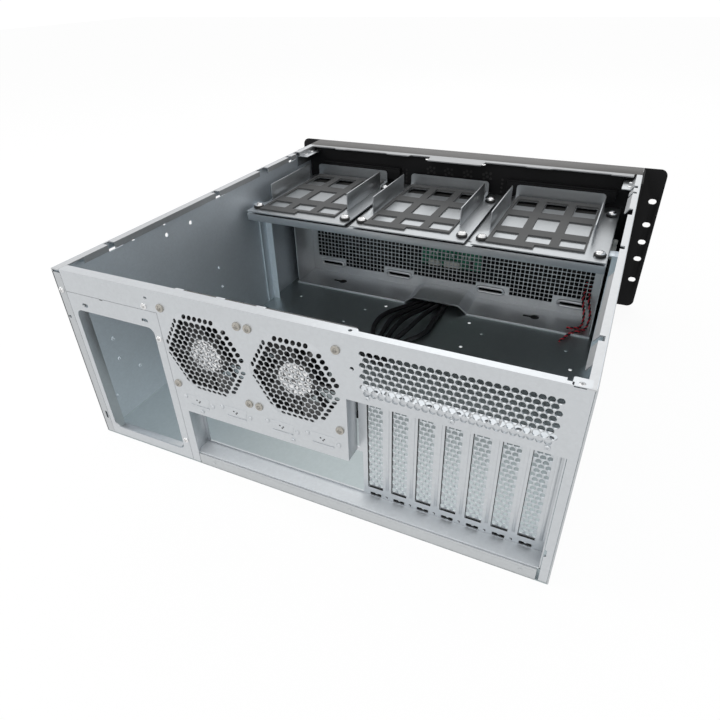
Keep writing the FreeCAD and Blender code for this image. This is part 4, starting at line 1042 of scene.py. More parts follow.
class CASE_OT_rear_panel(CasePiece, bpy.types.Operator):
    """Rear panel with its raised grilles, vents and knock-outs"""

    bl_idname = "case.rear_panel"
    bl_label = "Rear panel"

    def build(self):
        shape = bmesh.new()
        self.face(shape)
        for centre in FAN_CENTRES:
            self.boss(shape, centre)
        self.lips(shape)
        for centre in KNOCK_OUTS:
            self.knock_out(shape, centre)
        rivets = ((132, 0, 66), (221.5, 0, 66), (287.6, 0, 127.6), (348.5, 0, 127.3), (409.8, 0, 127.0))
        add_rivets(shape, rivets, REARWARD, 2.1, 1.0)
        finished("rear_plate", shape, "zinc_panel", stands_for=["rear_panel"])
        self.slits()

    def face(self, shape):
        top = CASE_TOP - SHEET
        low = 1.5
        left = 9.3
        right = CASE_WIDTH - 1.5
        corners = [
            (left, 157.2), (46.5, 157.2), (47.0, 156.0), (50.0, 156.0), (50.5, 157.2),
            (STRIP[0], 157.2), (STRIP[0], low), (STRIP[1], low), (STRIP[1], IO_TOP), (IO_RIGHT, IO_TOP),
            (IO_RIGHT, BAND_LOW), (SLOTS_RIGHT, BAND_LOW), (SLOTS_RIGHT, 36.0), (424.0, 35.0),
            (424.0, 29.0), (SLOTS_RIGHT, 28.0), (SLOTS_RIGHT, low), (right, low), (right, top), (left, top),
        ]
        outline = add_run(shape, rear_plane(0), corners)
        for centre in FAN_CENTRES:
            outline += add_outline(shape, soft_hexagon(centre, BOSS_FOOT - 0.15, 0, BOSS_CORNER))
        outline += cut_cells(shape, sizes().grille_hole * 0.98, vent_places())
        outline += add_window(shape, spot(99.2, 0, 168.6), 3.4, 2.2, 1.0)
        outline += add_ring(shape, spot(276.5, 0, 150.0), 1.6, 16)
        add_sheet(shape, outline, INWARD * SHEET)

    def boss(self, shape, centre):
        """The raised hexagon: a crown full of cells and six sloping flanks with a row of holes each."""
        high = -BOSS_RISE + 0.01
        crown = soft_hexagon(centre, BOSS_CROWN, high)
        foot = soft_hexagon(centre, BOSS_FOOT, 0.0, BOSS_CORNER)
        outline = add_outline(shape, crown)
        outline += cut_cells(shape, sizes().grille_hole, cell_places(centre, high))
        add_sheet(shape, outline, INWARD * 0.9)
        for side in range(6):
            first, last = 3 * side + 2, (3 * side + 3) % 18
            self.flank(shape, (crown[first], crown[last], foot[last], foot[first]))
            points = [3 * side, 3 * side + 1, first]
            add_loft(shape, [self.doubled([ring[index] for index in points]) for ring in (crown, foot)])

    def flank(self, shape, corners):
        """One sloping side with its holes, as thick as the crown."""
        outline = add_outline(shape, corners)
        inner, outer = (corners[0] + corners[1]) / 2, (corners[2] + corners[3]) / 2
        along = (corners[1] - corners[0]).normalized()
        rise = (outer - inner).normalized()
        turn = Matrix((along, rise, along.cross(rise))).transposed().to_4x4()
        for index in range(6):
            centre = (inner + outer) / 2 + along * (index - 2.5) * FLANK_PITCH * MM
            outline += add_ring(shape, centre, FLANK_HOLE, 10, turn)
        add_sheet(shape, outline, INWARD * 0.9)

    def doubled(self, points):
        """A strip's outline: its points, then the same ones set back, the other way round."""
        return points + [point + INWARD * 0.9 for point in reversed(points)]

    def lips(self, shape):
        """The folded top lip with its step, lances and hole, and the return beside the slots."""
        corners = [
            (8.8, 0), (416.8, 0), (416.8, 3.4), (412.5, 3.4), (412.5, 6.2), (279.5, 6.2), (277.8, 9),
            (8.8, 9),
        ]
        outline = add_run(shape, level_plane(CASE_TOP), corners)
        outline += add_ring(shape, spot(273.8, 5.2, CASE_TOP), 1.5, 16, LEVEL)
        add_sheet(shape, outline, DOWNWARD * SHEET)
        for across in (126.8, 165.1, 200.5):
            add_box(shape, (across - 4, across + 4), (8.6, 11.0), (CASE_TOP - 0.9, CASE_TOP - 0.1), 0.25)
        add_box(shape, (IO_RIGHT - SHEET, IO_RIGHT), (SHEET, SHEET + 14.5), (IO_TOP, BAND_LOW), 0.2)
        outline = add_window(shape, spot(421.2, 4.6, CASE_TOP), 11.0, 9.0, 1.2, LEVEL)
        outline += add_ring(shape, spot(421.0, 3.2, CASE_TOP), 1.9, 16, LEVEL)
        add_sheet(shape, outline, DOWNWARD * 0.5)

    def knock_out(self, shape, centre):
        """A connector's pressed pad with its dimples and the bright rib under it."""
        up = 76.8
        loops = ((20.6, 9.8, 0.2), (20.4, 9.6, -0.15), (19.2, 8.4, -0.45), (17.6, 6.8, -0.52))
        add_loft(shape, [pad_points(centre, up, *size) for size in loops])
        for side in (-13.6, 13.6):
            add_turned(shape, stud_profile(2.1, 1.2), spot(centre + side, 0, up - side / 8), REARWARD, 14)
        add_box(shape, (centre - 9.5, centre + 9.5), (-0.7, 0.2), (up - 6.4, up - 4.8), 0.6)

    def slits(self):
        """Painted shade: dark blocks set into the knock-outs' pads where their slits would lie in shade."""
        shape = bmesh.new()
        for centre in KNOCK_OUTS:
            for side, level in ((-1.7, 77.9), (1.5, 77.3), (0.4, 75.9)):
                add_box(shape, (centre + side - 0.6, centre + side + 0.6), (-0.6, -0.45),
                        (level - 0.55, level + 0.55), 0.0)
        finished("knock_out_slits", shape, "hollow_dark")


class CASE_OT_psu_bracket(CasePiece, bpy.types.Operator):
    """Bracket round the power-supply opening"""

    bl_idname = "case.psu_bracket"
    bl_label = "Power-supply bracket"

    def build(self):
        left, right = PSU[0]
        top = 156.9
        shape = bmesh.new()
        outline = add_run(shape, rear_plane(0), [(left, 1.5), (right, 1.5), (right, top), (left, top)])
        outline += add_window(shape, spot(57.0, 0, 76.0), 84.8, 130.0, 6.0)
        for across in (27.3, 92.4):
            outline += add_window(shape, spot(across, 0, 146.9), 6.4, 3.6, 1.7)
        add_sheet(shape, outline, INWARD * SHEET)
        add_box(shape, (left, right), (SHEET, 2 * SHEET), (150.9, 165.9), 0.1)
        add_box(shape, (left, left + SHEET), (SHEET, 13.2), (1.5, 146.9), 0.2)
        add_box(shape, (20, 94), (SHEET * 0.8, 7.5), (9.8, 10.9), 0.3)
        finished("supply_bracket", shape, "zinc_panel", stands_for=["psu_bracket"])


# --- Slots -------------------------------------------------------------------------------


SLOT_FIRST = middle(spans("slot_cover_1")[0])
SLOT_PITCH = middle(spans("slot_cover_2")[0]) - SLOT_FIRST
SLOT_LOW = 22.5
SLOT_HIGH = 119.0
RECESS = 16.4


class CASE_OT_slots(CasePiece, bpy.types.Operator):
    """Recessed slot plate and its vented covers"""

    bl_idname = "case.slots"
    bl_label = "Slots"

    def build(self):
        self.plate()
        self.shadows()
        for index in range(7):
            self.cover(index)

    def plate(self):
        left, right = POCKET[0]
        low, roof = 12.3, 124.8
        turn = IO_RIGHT + SHEET
        ceiling = IO_TOP + SHEET
        shape = bmesh.new()
        corners = [(left, low), (right, low), (right, roof), (turn, roof), (turn, ceiling), (left, ceiling)]
        outline = add_run(shape, rear_plane(RECESS), corners)
        outline += add_window(shape, spot(196.2, RECESS, 37.2), 158.0, 44.45, 0.8)
        for index in range(7):
            across = SLOT_FIRST + SLOT_PITCH * index
            outline += add_window(shape, spot(across, RECESS, (SLOT_LOW + SLOT_HIGH) / 2), 12.8,
                                  SLOT_HIGH - SLOT_LOW, 1.0)
            outline += add_window(shape, spot(across, RECESS, 15.6), 9.6, 3.2, 0.7)
        add_sheet(shape, outline, INWARD * SHEET)
        rear = (SHEET, RECESS)
        # Painted light: the ledge is its own piece so that it can take a brighter copy of the zinc.
        ledge = bmesh.new()
        add_box(ledge, (left, right), rear, (low, low + SHEET), 0.2)
        finished("slot_ledge", ledge, "zinc_ledge")
        add_box(shape, (STRIP[1] + 1.3, right - 1.9), (SHEET, 2 * SHEET), (1.5, low), 0.1)
        add_box(shape, (left, IO_RIGHT - SHEET - 0.3), rear, (IO_TOP, ceiling), 0.2)
        add_box(shape, (left, IO_RIGHT - SHEET - 0.3), (SHEET, 2 * SHEET), (IO_TOP, ceiling + 9), 0.2)
        # Painted shade: the pocket's roof is its own piece with the dark rail copy of the zinc.
        cover = bmesh.new()
        add_box(cover, (turn, right), rear, (roof - SHEET, roof), 0.2)
        finished("slot_roof", cover, "zinc_rail")
        add_box(shape, (turn, right), (SHEET, 2 * SHEET), (roof - SHEET, roof + 7.7), 0.2)
        add_box(shape, (left, left + SHEET), rear, (low, ceiling), 0.2)
        add_box(shape, (right - SHEET, right), rear, (low, roof), 0.2)
        for index in range(8):
            across = SLOT_FIRST + SLOT_PITCH * (index - 0.5)
            if across > 280:
                add_box(shape, (across - 1.3, across + 1.3), (RECESS - 0.45, RECESS + 0.2),
                        (SLOT_LOW + 2, SLOT_HIGH - 2), 0.4)
        finished("slot_sheet", shape, "zinc_panel", stands_for=["slot_plate"])

    def shadows(self):
        """Painted shade: dark strips along each slot's side and foot where the gaps lie in shade, dark plates
        behind the foot holes, and small dark marks beside the feet.
        """
        shape = bmesh.new()
        shade_gap_depth = (RECESS - 0.04, RECESS + SHEET)
        for index in range(7):
            across = SLOT_FIRST + SLOT_PITCH * index
            add_box(shape, (across - 6.65, across - 6.3), shade_gap_depth, (SLOT_LOW, SLOT_HIGH - 1), 0.0)
            add_box(shape, (across - 6.65, across + 6.2), shade_gap_depth, (SLOT_LOW - 0.05, SLOT_LOW + 0.2), 0.0)
            add_box(shape, (across - 5.6, across + 5.6), (RECESS + 2.1, RECESS + 2.3), (12.9, 19.0), 0.0)
            if index < 6:
                beside = across + SLOT_PITCH / 2
                mark = (RECESS - 0.04, RECESS + 0.3)
                add_box(shape, (beside - 1.5, beside + 0.2), mark, (16.2, 17.0), 0.0)
                add_box(shape, (beside - 0.4, beside + 0.4), mark, (15.0, 16.3), 0.0)
        finished("slot_gaps", shape, "hollow_dark")

    def cover(self, index):
        """A blanking bracket with staggered round-cornered cells, its tail and its screw tab."""
        across = SLOT_FIRST + SLOT_PITCH * index
        face = RECESS + SHEET
        thin = 0.8
        foot = SLOT_LOW - 2.6
        top = 125.6
        half = 9.2
        shape = bmesh.new()
        corners = [
            (across - half, foot), (across - 3.4, foot - 0.6), (across - 0.9, foot - 1.2),
            (across - 0.9, 14.9), (across + 0.9, 14.9), (across + 0.9, foot - 1.2),
            (across + 3.4, foot - 0.6), (across + half, foot), (across + half, top), (across - half, top),
        ]
        outline = add_run(shape, rear_plane(face), corners)
        pitch = sizes().cover_pitch
        middle_up = (SLOT_LOW + SLOT_HIGH) / 2
        places = [spot(across + offset, face, middle_up + up)
                  for offset, up in staggered(pitch * 2 + 0.1, SLOT_HIGH - SLOT_LOW - 5, pitch)]
        outline += cut_cells(shape, sizes().cover_hole, places)
        add_sheet(shape, outline, INWARD * thin)
        outline = add_run(shape, level_plane(top), [
            (across - half, face + thin), (across + half, face + thin), (across + half, 9.4),
            (across + half - 3, 6.6), (across - half + 3, 6.6), (across - half, 9.4)])
        outline += add_ring(shape, spot(across + 2.5, 11.6, top), 2.1, 16, LEVEL)
        add_sheet(shape, outline, DOWNWARD * thin)
        finished("slot_blank_%d" % (index + 1), shape, "zinc_cover",
                 stands_for=["slot_cover_%d" % (index + 1)])


# --- Fans --------------------------------------------------------------------------------


class CASE_OT_fans(CasePiece, bpy.types.Operator):
    """Two rear fans: housings, hub labels and turning rotors"""

    bl_idname = "case.fans"
    bl_label = "Fans"

    def build(self):
        for side, centre in zip(("near", "far"), FAN_CENTRES):
            dress("fan_housing_" + side, "fan_plastic", ["fan_frame_" + side], fold=0.5)
            self.label(side, centre)
            self.rotor(side, centre)

    def label(self, side, centre):
        """The foil disc on the motor's seat, facing the grille."""
        shape = bmesh.new()
        profile = [(0, 0.2), (13.8, 0.2), (14.2, 0.12), (14.2, 0)]
        add_turned(shape, profile, spot(centre, SHEET - 0.02, FAN_UP), REARWARD, 36)
        finished("hub_label_" + side, shape, "silver_label")

    def rotor(self, side, centre):
        """Hub cup with a rounded rim and seven curved blades."""
        start = SHEET + 3.8
        shape = bmesh.new()
        profile = [
            (0, 17.5), (15.8, 17.5), (16.9, 17.2), (17.9, 16.4), (18.5, 15.0), (18.5, 0), (17.0, 0),
            (17.0, 15.6), (2.0, 15.8), (2.0, -2.0), (0, -2.0),
        ]
        add_turned(shape, profile, spot(centre, start, FAN_UP), FRONTWARD, 40)
        hub = spot(centre, SHEET + 14.0, FAN_UP)
        for turn in range(7):
            self.blade(shape, hub, 2 * math.pi * turn / 7)
        finished("rotor_" + side, shape, "fan_plastic", "fan_%s_rotor" % side,
                 ["fan_rotor_" + side], 45.0)

    def blade(self, shape, hub, turn):
        """One thin blade, bowed and twisted from its root to its tip."""
        rows = []
        for row in range(6):
            share = row / 5
            reach = 17.6 + 18.4 * share
            pitch = math.radians(42 - 17 * share)
            chord = 15.5 + 5.5 * share
            corners = []
            for side in (-1, 1):
                for step in range(7):
                    along = side * (step / 6 - 0.5) * chord
                    bow = 2.0 * (1 - (2 * step / 6 - 1) ** 2)
                    thick = side * 0.42
                    across = along * math.cos(pitch) - (bow + thick) * math.sin(pitch) + share * 2.5
                    deep = along * math.sin(pitch) + (bow + thick) * math.cos(pitch) - 1.0
                    corners.append(hub + Matrix.Rotation(turn, 3, "Y") @ Vector((across, deep, reach)) * MM)
            rows.append(corners)
        add_loft(shape, rows)


# --- Chassis tray ------------------------------------------------------------------------


STUDS = ((35.6, 324.8), (134.3, 324.3), (293.0, 322.4), (393.5, 323.0), (121.5, 285.3))
FLOOR_HOLES = ((156.7, 342.5), (271.9, 342.4), (278.3, 284.1), (403.9, 284.9))
SLOT_STEPS = (69.0, 228.0, 387.0)
LIP_NOTCHES = ((55.0, 62.0), (212.0, 219.0), (300.0, 318.0), (368.0, 374.0), (388.0, 396.0))
LIP_WIDTHS = {1: 8.5, -1: 6.1}
LIP_RETURNS = {
    1: ((27.0, 54.5), (62.5, 211.5), (219.5, 299.5), (318.5, 367.5), (374.5, 387.5), (396.5, 436.0)),
    -1: ((27.0, 54.5), (62.5, 165.0), (318.5, 367.5), (374.5, 387.5), (396.5, 436.0)),
}


class CASE_OT_chassis(CasePiece, bpy.types.Operator):
    """Chassis tray: floor, slotted side walls and top lips"""

    bl_idname = "case.chassis"
    bl_label = "Chassis tray"

    def build(self):
        self.floor()
        self.walls()

    def floor(self):
        shape = bmesh.new()
        deep = FRONT
        outline = add_run(shape, level_plane(0.9), [
            (0.9, 0), (CASE_WIDTH - 0.9, 0), (CASE_WIDTH - 0.9, deep), (0.9, deep)])
        for across, inward in FLOOR_HOLES:
            outline += add_ring(shape, spot(across, inward, 0.9), 2.1, 18, LEVEL)
        add_sheet(shape, outline, Vector((0, 0, 0.3 * MM)))
        outline = add_run(shape, level_plane(0), [
            (0.9, 0), (CASE_WIDTH - 0.9, 0), (CASE_WIDTH - 0.9, deep), (0.9, deep)])
        for across, inward in FLOOR_HOLES:
            outline += add_ring(shape, spot(across, inward, 0), 2.1, 18, LEVEL)
        add_sheet(shape, outline, Vector((0, 0, 0.9 * MM)))
        for across, inward in STUDS:
            add_turned(shape, stud_profile(2.3, 1.1), spot(across, inward, 1.15), UPWARD, 18)
        finished("chassis_floor", shape, "zinc_floor")

    def walls(self):
        shape = bmesh.new()
        lips = bmesh.new()
        deep = FRONT
        for sign, outer in ((1, 0.0), (-1, CASE_WIDTH)):
            corners = [(0, 0.9), (deep, 0.9), (deep, CASE_TOP - 0.9), (0, CASE_TOP - 0.9)]
            outline = add_run(shape, side_plane(outer), corners)
            for inward in SLOT_STEPS:
                outline += add_window(shape, spot(outer, inward, 168.3), 18, 2.4, 1.19, SIDEWAYS)
            for inward, up in ((91, 168.5), (134.6, 168.5), (134.6, 156.1), (172.3, 156.1)):
                outline += add_ring(shape, spot(outer, inward, up), 2.2, 16, SIDEWAYS)
            add_sheet(shape, outline, NEARER * -SHEET * sign)
            self.bends(shape, outer, sign, deep)
            self.lip(lips, outer, sign, deep)
        outline = add_run(shape, rear_plane(0), [(0.4, 1.0), (9.0, 1.0), (9.0, 173.8), (0.4, 173.8)])
        outline += add_window(shape, spot(6.3, 0, 22.4), 2.6, 9.0, 1.2)
        outline += add_ring(shape, spot(3.4, 0, 131.4), 1.5, 14)
        add_sheet(shape, outline, INWARD * SHEET)
        add_box(shape, (116.3, 420.3), (0, SHEET), (0, 12), 0.3)
        add_box(shape, (118.5, 418.5), (-0.16, 0.1), (9.3, 9.9), 0.08)
        add_rivets(shape, ((131.7, 0, 6), (269.7, 0, 6), (409.3, 0, 6)), REARWARD, 1.7, 0.5)
        rivets = [(SHEET, inward, up) for inward, up in (
            (36.4, 87.4), (36.6, 64.4), (58.1, 42.4), (21.9, 28.7), (12.4, 87.7), (11.8, 63.9),
            (205.0, 89.2), (205.7, 64.5), (150, 6.5), (250, 6.5), (302, 118), (302, 40))]
        add_rivets(shape, rivets, FARWARD, 2.0, 0.7)
        rivets = [(CASE_WIDTH - SHEET, inward, up) for inward, up in (
            (150, 6.5), (250, 6.5), (302, 118), (302, 40))]
        add_rivets(shape, rivets, NEARWARD, 2.0, 0.7)
        finished("chassis_walls", shape, "zinc_shell", stands_for=["chassis_tray"])
        finished("chassis_lips", lips, "zinc_lip")

    def bends(self, shape, outer, sign, deep):
        """Quarter rounds along the floor's and the lip's folds."""
        for hub, start in ((0.9, 180 if sign > 0 else 270), (CASE_TOP - 0.9, 90 if sign > 0 else 0)):
            middle_across = outer + sign * 0.9
            loops = []
            for inward in (0.0, deep):
                points = []
                for radius, steps in ((0.9, range(5)), (0.02, range(4, -1, -1))):
                    for step in steps:
                        angle = math.radians(start + 22.5 * step)
                        points.append(spot(middle_across + radius * math.cos(angle), inward,
                                           hub + radius * math.sin(angle)))
                loops.append(points)
            add_loft(shape, loops)

    def lip(self, shape, outer, sign, deep):
        """The inward top lip with its notches and the return folded down inside it."""
        width = LIP_WIDTHS[sign]
        shift = width - LIP_WIDTHS[1]
        inner = outer + sign * width
        mouth = outer + sign * 2.4
        corners = [(outer + sign * 0.9, 0), (inner, 0)]
        for start, end in LIP_NOTCHES:
            corners += [(inner, start), (mouth, start), (mouth, end), (inner, end)]
        corners += [(inner, deep), (outer + sign * 0.9, deep)]
        outline = add_run(shape, level_plane(CASE_TOP - 0.06), corners)
        add_sheet(shape, outline, DOWNWARD * (SHEET - 0.06))
        top = CASE_TOP - SHEET
        lean = 0.0 if sign > 0 else 3.6
        profile = ((7.6, top + 0.3), (8.45, top + 0.3), (8.4 + lean, top - 4.6), (7.6 + lean, top - 5.1))
        for start, end in LIP_RETURNS[sign]:
            add_loft(shape, [[spot(outer + sign * (across + shift), inward, up) for across, up in profile]
                             for inward in (start, end)])


# --- Fan guard, shelf and drive trays ----------------------------------------------------


GUARD_SLOTS = (42.5, 148.5, 279.5, 385.5)


class CASE_OT_guard(CasePiece, bpy.types.Operator):
    """Fine-meshed fan guard with its cable tunnel"""

    bl_idname = "case.guard"
    bl_label = "Fan guard"

    def build(self):
        shape = bmesh.new()
        self.face(shape)
        self.foot(shape)
        left, right = GUARD[0]
        face = GUARD[1][1] - SHEET
        under = GUARD[2][1]
        for side in ((left, left + SHEET), (right - SHEET, right)):
            add_box(shape, side, (364, face + 0.1), (SHEET, under), 0.25)
        add_box(shape, (left, right), (face - 12, face + 0.1), (under - SHEET, under), 0.25)
        finished("guard_sheet", shape, "zinc_guard", stands_for=["fan_guard"])
        # Painted shade: a dark plate inside each keyhole, where the hole would show shade.
        shape = bmesh.new()
        for hole in (70, 345):
            rear = GUARD[1][0]
            add_box(shape, (hole - 17, hole + 8), (rear + 18, rear + 34), (SHEET + 0.05, SHEET + 0.12), 0.0)
        finished("keyhole_hollows", shape, "hollow_dark")

    def mesh_places(self, face):
        """The middles of the square holes, less those round the cable slots and over the tunnel."""
        pitch = sizes().mesh_pitch
        columns = int((407.0 - 17.0) / pitch)
        rows = int((133.0 - 13.5) / pitch)
        places = []
        for row in range(rows):
            up = 73.2 + (row - (rows - 1) / 2) * pitch
            for column in range(columns):
                across = 212.0 + (column - (columns - 1) / 2) * pitch
                beside_slot = up < 26 and any(abs(across - slot) < 22.5 for slot in GUARD_SLOTS)
                if not beside_slot and not (up < 21 and 168 < across < 270):
                    places.append(spot(across, face, up))
        return places

    def face(self, shape):
        left, right = GUARD[0]
        face = GUARD[1][1] - SHEET
        plane = rear_plane(face)
        top = GUARD[2][1]
        outline = add_run(shape, plane, [
            (left, SHEET), (190, SHEET), (192.5, 9.0), (245.5, 9.0), (248, SHEET), (right, SHEET),
            (right, top), (left, top)])
        template = add_window(shape, Vector(), sizes().mesh_hole, sizes().mesh_hole, 0.5, steps=1)
        corners = corners_of(template)
        outline += add_cells(shape, corners + template, self.mesh_places(face))
        bmesh.ops.delete(shape, geom=corners, context="VERTS")
        for across in GUARD_SLOTS:
            outline += add_window(shape, spot(across, face, 16.5), 31, 3.4, 1.65)
            self.rim(shape, across, face)
        add_sheet(shape, outline, INWARD * SHEET)

    def rim(self, shape, across, face):
        """The raised rim pressed round one cable slot."""
        loops = []
        for grow, lift in ((0.05, 0.05), (0.4, -1.3), (1.8, -2.0), (3.4, -1.3), (4.3, 0.3)):
            points = []
            for side in (1, -1):
                for step in range(9):
                    angle = math.radians(-90 + 22.5 * step + (180 if side < 0 else 0))
                    radius = 1.7 + grow
                    points.append(spot(across + side * 13.8 + radius * math.cos(angle), face + lift,
                                       16.5 + radius * math.sin(angle)))
            loops.append(points)
        add_band(shape, loops)

    def foot(self, shape):
        """The two feet with their keyholes, the raised tunnel between them and the rounded rear hem."""
        left, right = GUARD[0]
        rear = GUARD[1][0]
        face = GUARD[1][1] - SHEET
        for near, far, hole in ((left, 176, 70), (262, right, 345)):
            corners = [(near, rear), (far, rear), (far, face), (near, face)]
            outline = add_run(shape, level_plane(SHEET), corners)
            keyhole = [(hole - 15, rear + 28.8), (hole - 15, rear + 23.2), (hole - 5.6, rear + 23.2)]
            for step in range(13):
                angle = math.radians(-150 + 25 * step)
                keyhole.append((hole + 6 * math.cos(angle), rear + 26 + 6 * math.sin(angle)))
            keyhole.append((hole - 5.6, rear + 28.8))
            outline += add_run(shape, level_plane(SHEET), keyhole)
            add_sheet(shape, outline, Vector((0, 0, SHEET * MM)))
            add_box(shape, (near, far), (rear, rear + 2.6), (SHEET + 0.1, SHEET + 2.3), 0.9)
        profile = [
            (176, 1.2), (177.2, 1.2), (188.6, 10.2), (249.4, 10.2), (260.8, 1.2), (262, 1.2), (262, 2.4),
            (250, 11.4), (188, 11.4), (176, 2.4),
        ]
        add_loft(shape, [[spot(across, inward, up) for across, up in profile] for inward in (rear, face)])
        hem = [
            (176, 1.3), (177.2, 1.3), (188.6, 10.1), (249.4, 10.1), (260.8, 1.3), (262, 1.3), (262, 3.5),
            (250.6, 12.4), (187.4, 12.4), (176, 3.5),
        ]
        add_loft(shape, [[spot(across, inward, up) for across, up in hem] for inward in (rear, rear + 2.4)])


class CASE_OT_trays(CasePiece, bpy.types.Operator):
    """Shelf, posts and the three drive trays with pads and isolating screws"""

    bl_idname = "case.trays"
    bl_label = "Drive trays"

    def build(self):
        dress("drive_shelf", "zinc_tray", ["tray_shelf"], fold=0.25)
        dress("shelf_posts", "zinc_shell", ["side_post_near", "side_post_far"], fold=0.25)
        for index, left in enumerate(TRAY_LEFTS):
            self.tray(index, left)
            self.cushion(index, left)
        # Painted shade: dark plates on the shelf under the trays' slots.
        shape = bmesh.new()
        for left in TRAY_LEFTS:
            add_box(shape, (left + 5, left + 98), (389.0, 417.0), (SHELF_TOP + 0.05, SHELF_TOP + 0.15), 0.0)
        finished("slot_hollows", shape, "hollow_dark")
        self.mounts()

    def tray(self, index, left):
        """One folded sheet: slotted floor with an ear and a wing, two sides and an eased far wall."""
        low, high = spans("drive_tray_1")[2]
        rear, far = spans("drive_tray_1")[1]
        right = left + 103
        shape = bmesh.new()
        outline = add_run(shape, level_plane(low), [
            (left - 9.5, rear), (right + 18, rear), (right + 18, 405), (right + 6, 407), (right + SHEET, 407),
            (right + SHEET, far), (left - SHEET, far), (left - SHEET, rear + 42), (left - 9.5, rear + 30)])
        for across, inward in TRAY_SCREWS[3 * index:3 * index + 3]:
            outline += add_ring(shape, spot(across, inward, low), 4.1, 20, LEVEL)
        for column in WINDOW_COLUMNS:
            outline += add_window(shape, spot(left + column, 404.0, low), 23.0, 20.0, 0.8, LEVEL)
        add_sheet(shape, outline, Vector((0, 0, SHEET * MM)))
        for side in ((left - SHEET, left), (right, right + SHEET)):
            add_box(shape, side, (rear + 44, far - 27), (low + 0.2, high), 0.3)
        wall = add_run(shape, rear_plane(far - SHEET), [
            (left, low), (right, low), (right, high - 9.2), (right - 0.9, high - 7.1),
            (right - 3.2, high - 6.0), (left + 3.2, high - 6.0), (left + 0.9, high - 7.1),
            (left, high - 9.2)])
        add_sheet(shape, wall, INWARD * SHEET)
        for across in (left - 4.5, right + 7.5):
            add_rivets(shape, [(across, rear + 12, low + SHEET)], UPWARD, 1.3, 0.4)
        finished("bay_tray_%d" % (index + 1), shape, "zinc_tray",
                 stands_for=["drive_tray_%d" % (index + 1)], corner=32.0)

    def cushion(self, index, left):
        """The pad with three rows of windows and its stepped rear edge."""
        low, high = spans("tray_pad_1")[2]
        shape = bmesh.new()
        outline = add_run(shape, level_plane(low), [
            (left + 3, 425), (left + 3, 271), (left + 51.5, 271), (left + 51.5, 279), (left + 100, 279),
            (left + 100, 425)])
        for column in WINDOW_COLUMNS:
            for inward, deep in WINDOW_ROWS:
                outline += add_window(shape, spot(left + column, inward, low), 24.4, deep, 0.9, LEVEL)
        add_sheet(shape, outline, Vector((0, 0, (high - low) * MM)))
        finished("tray_cushion_%d" % (index + 1), shape, "pad_plastic",
                 stands_for=["tray_pad_%d" % (index + 1)])

    def mounts(self):
        rubber = bmesh.new()
        metal = bmesh.new()
        up = SHELF_TOP
        for across, inward in TRAY_SCREWS:
            seat = spot(across, inward, up)
            ring = [(2.1, 0), (5.6, 0), (6, 0.4), (6, 2.5), (5.6, 2.8), (4, 2.8), (4, 4), (5.6, 4), (6, 4.4),
                    (6, 5.8), (5.5, 6.4), (2.1, 6.4), (2.1, 0)]
            add_turned(rubber, ring, seat, UPWARD, 24)
            dome = [(0, -5.2), (1.9, -5.2), (1.9, 6.4), (4.7, 6.4), (4.8, 6.9), (4.3, 8.1), (3.2, 8.9),
                    (1.8, 9.2), (1.6, 8.3), (0, 8.2)]
            add_turned(metal, dome, seat, UPWARD, 24)
        finished("isolating_rings", rubber, "grommet_rubber", stands_for=["tray_grommets"])
        finished("dome_screws", metal, "bright_plate", stands_for=["tray_screws"])


TRAY_LEFTS = [19.0 + 137.6 * index for index in range(3)]
WINDOW_COLUMNS = (18.6, 52.4, 86.0)
WINDOW_ROWS = ((294.2, 19.6), (338.6, 37.4), (394.6, 39.6))
TRAY_SCREWS = [place for left in TRAY_LEFTS
               for place in ((left - 2.3, 278), (left + 114, 278), (left + 114, 396))]


# --- Front -------------------------------------------------------------------------------


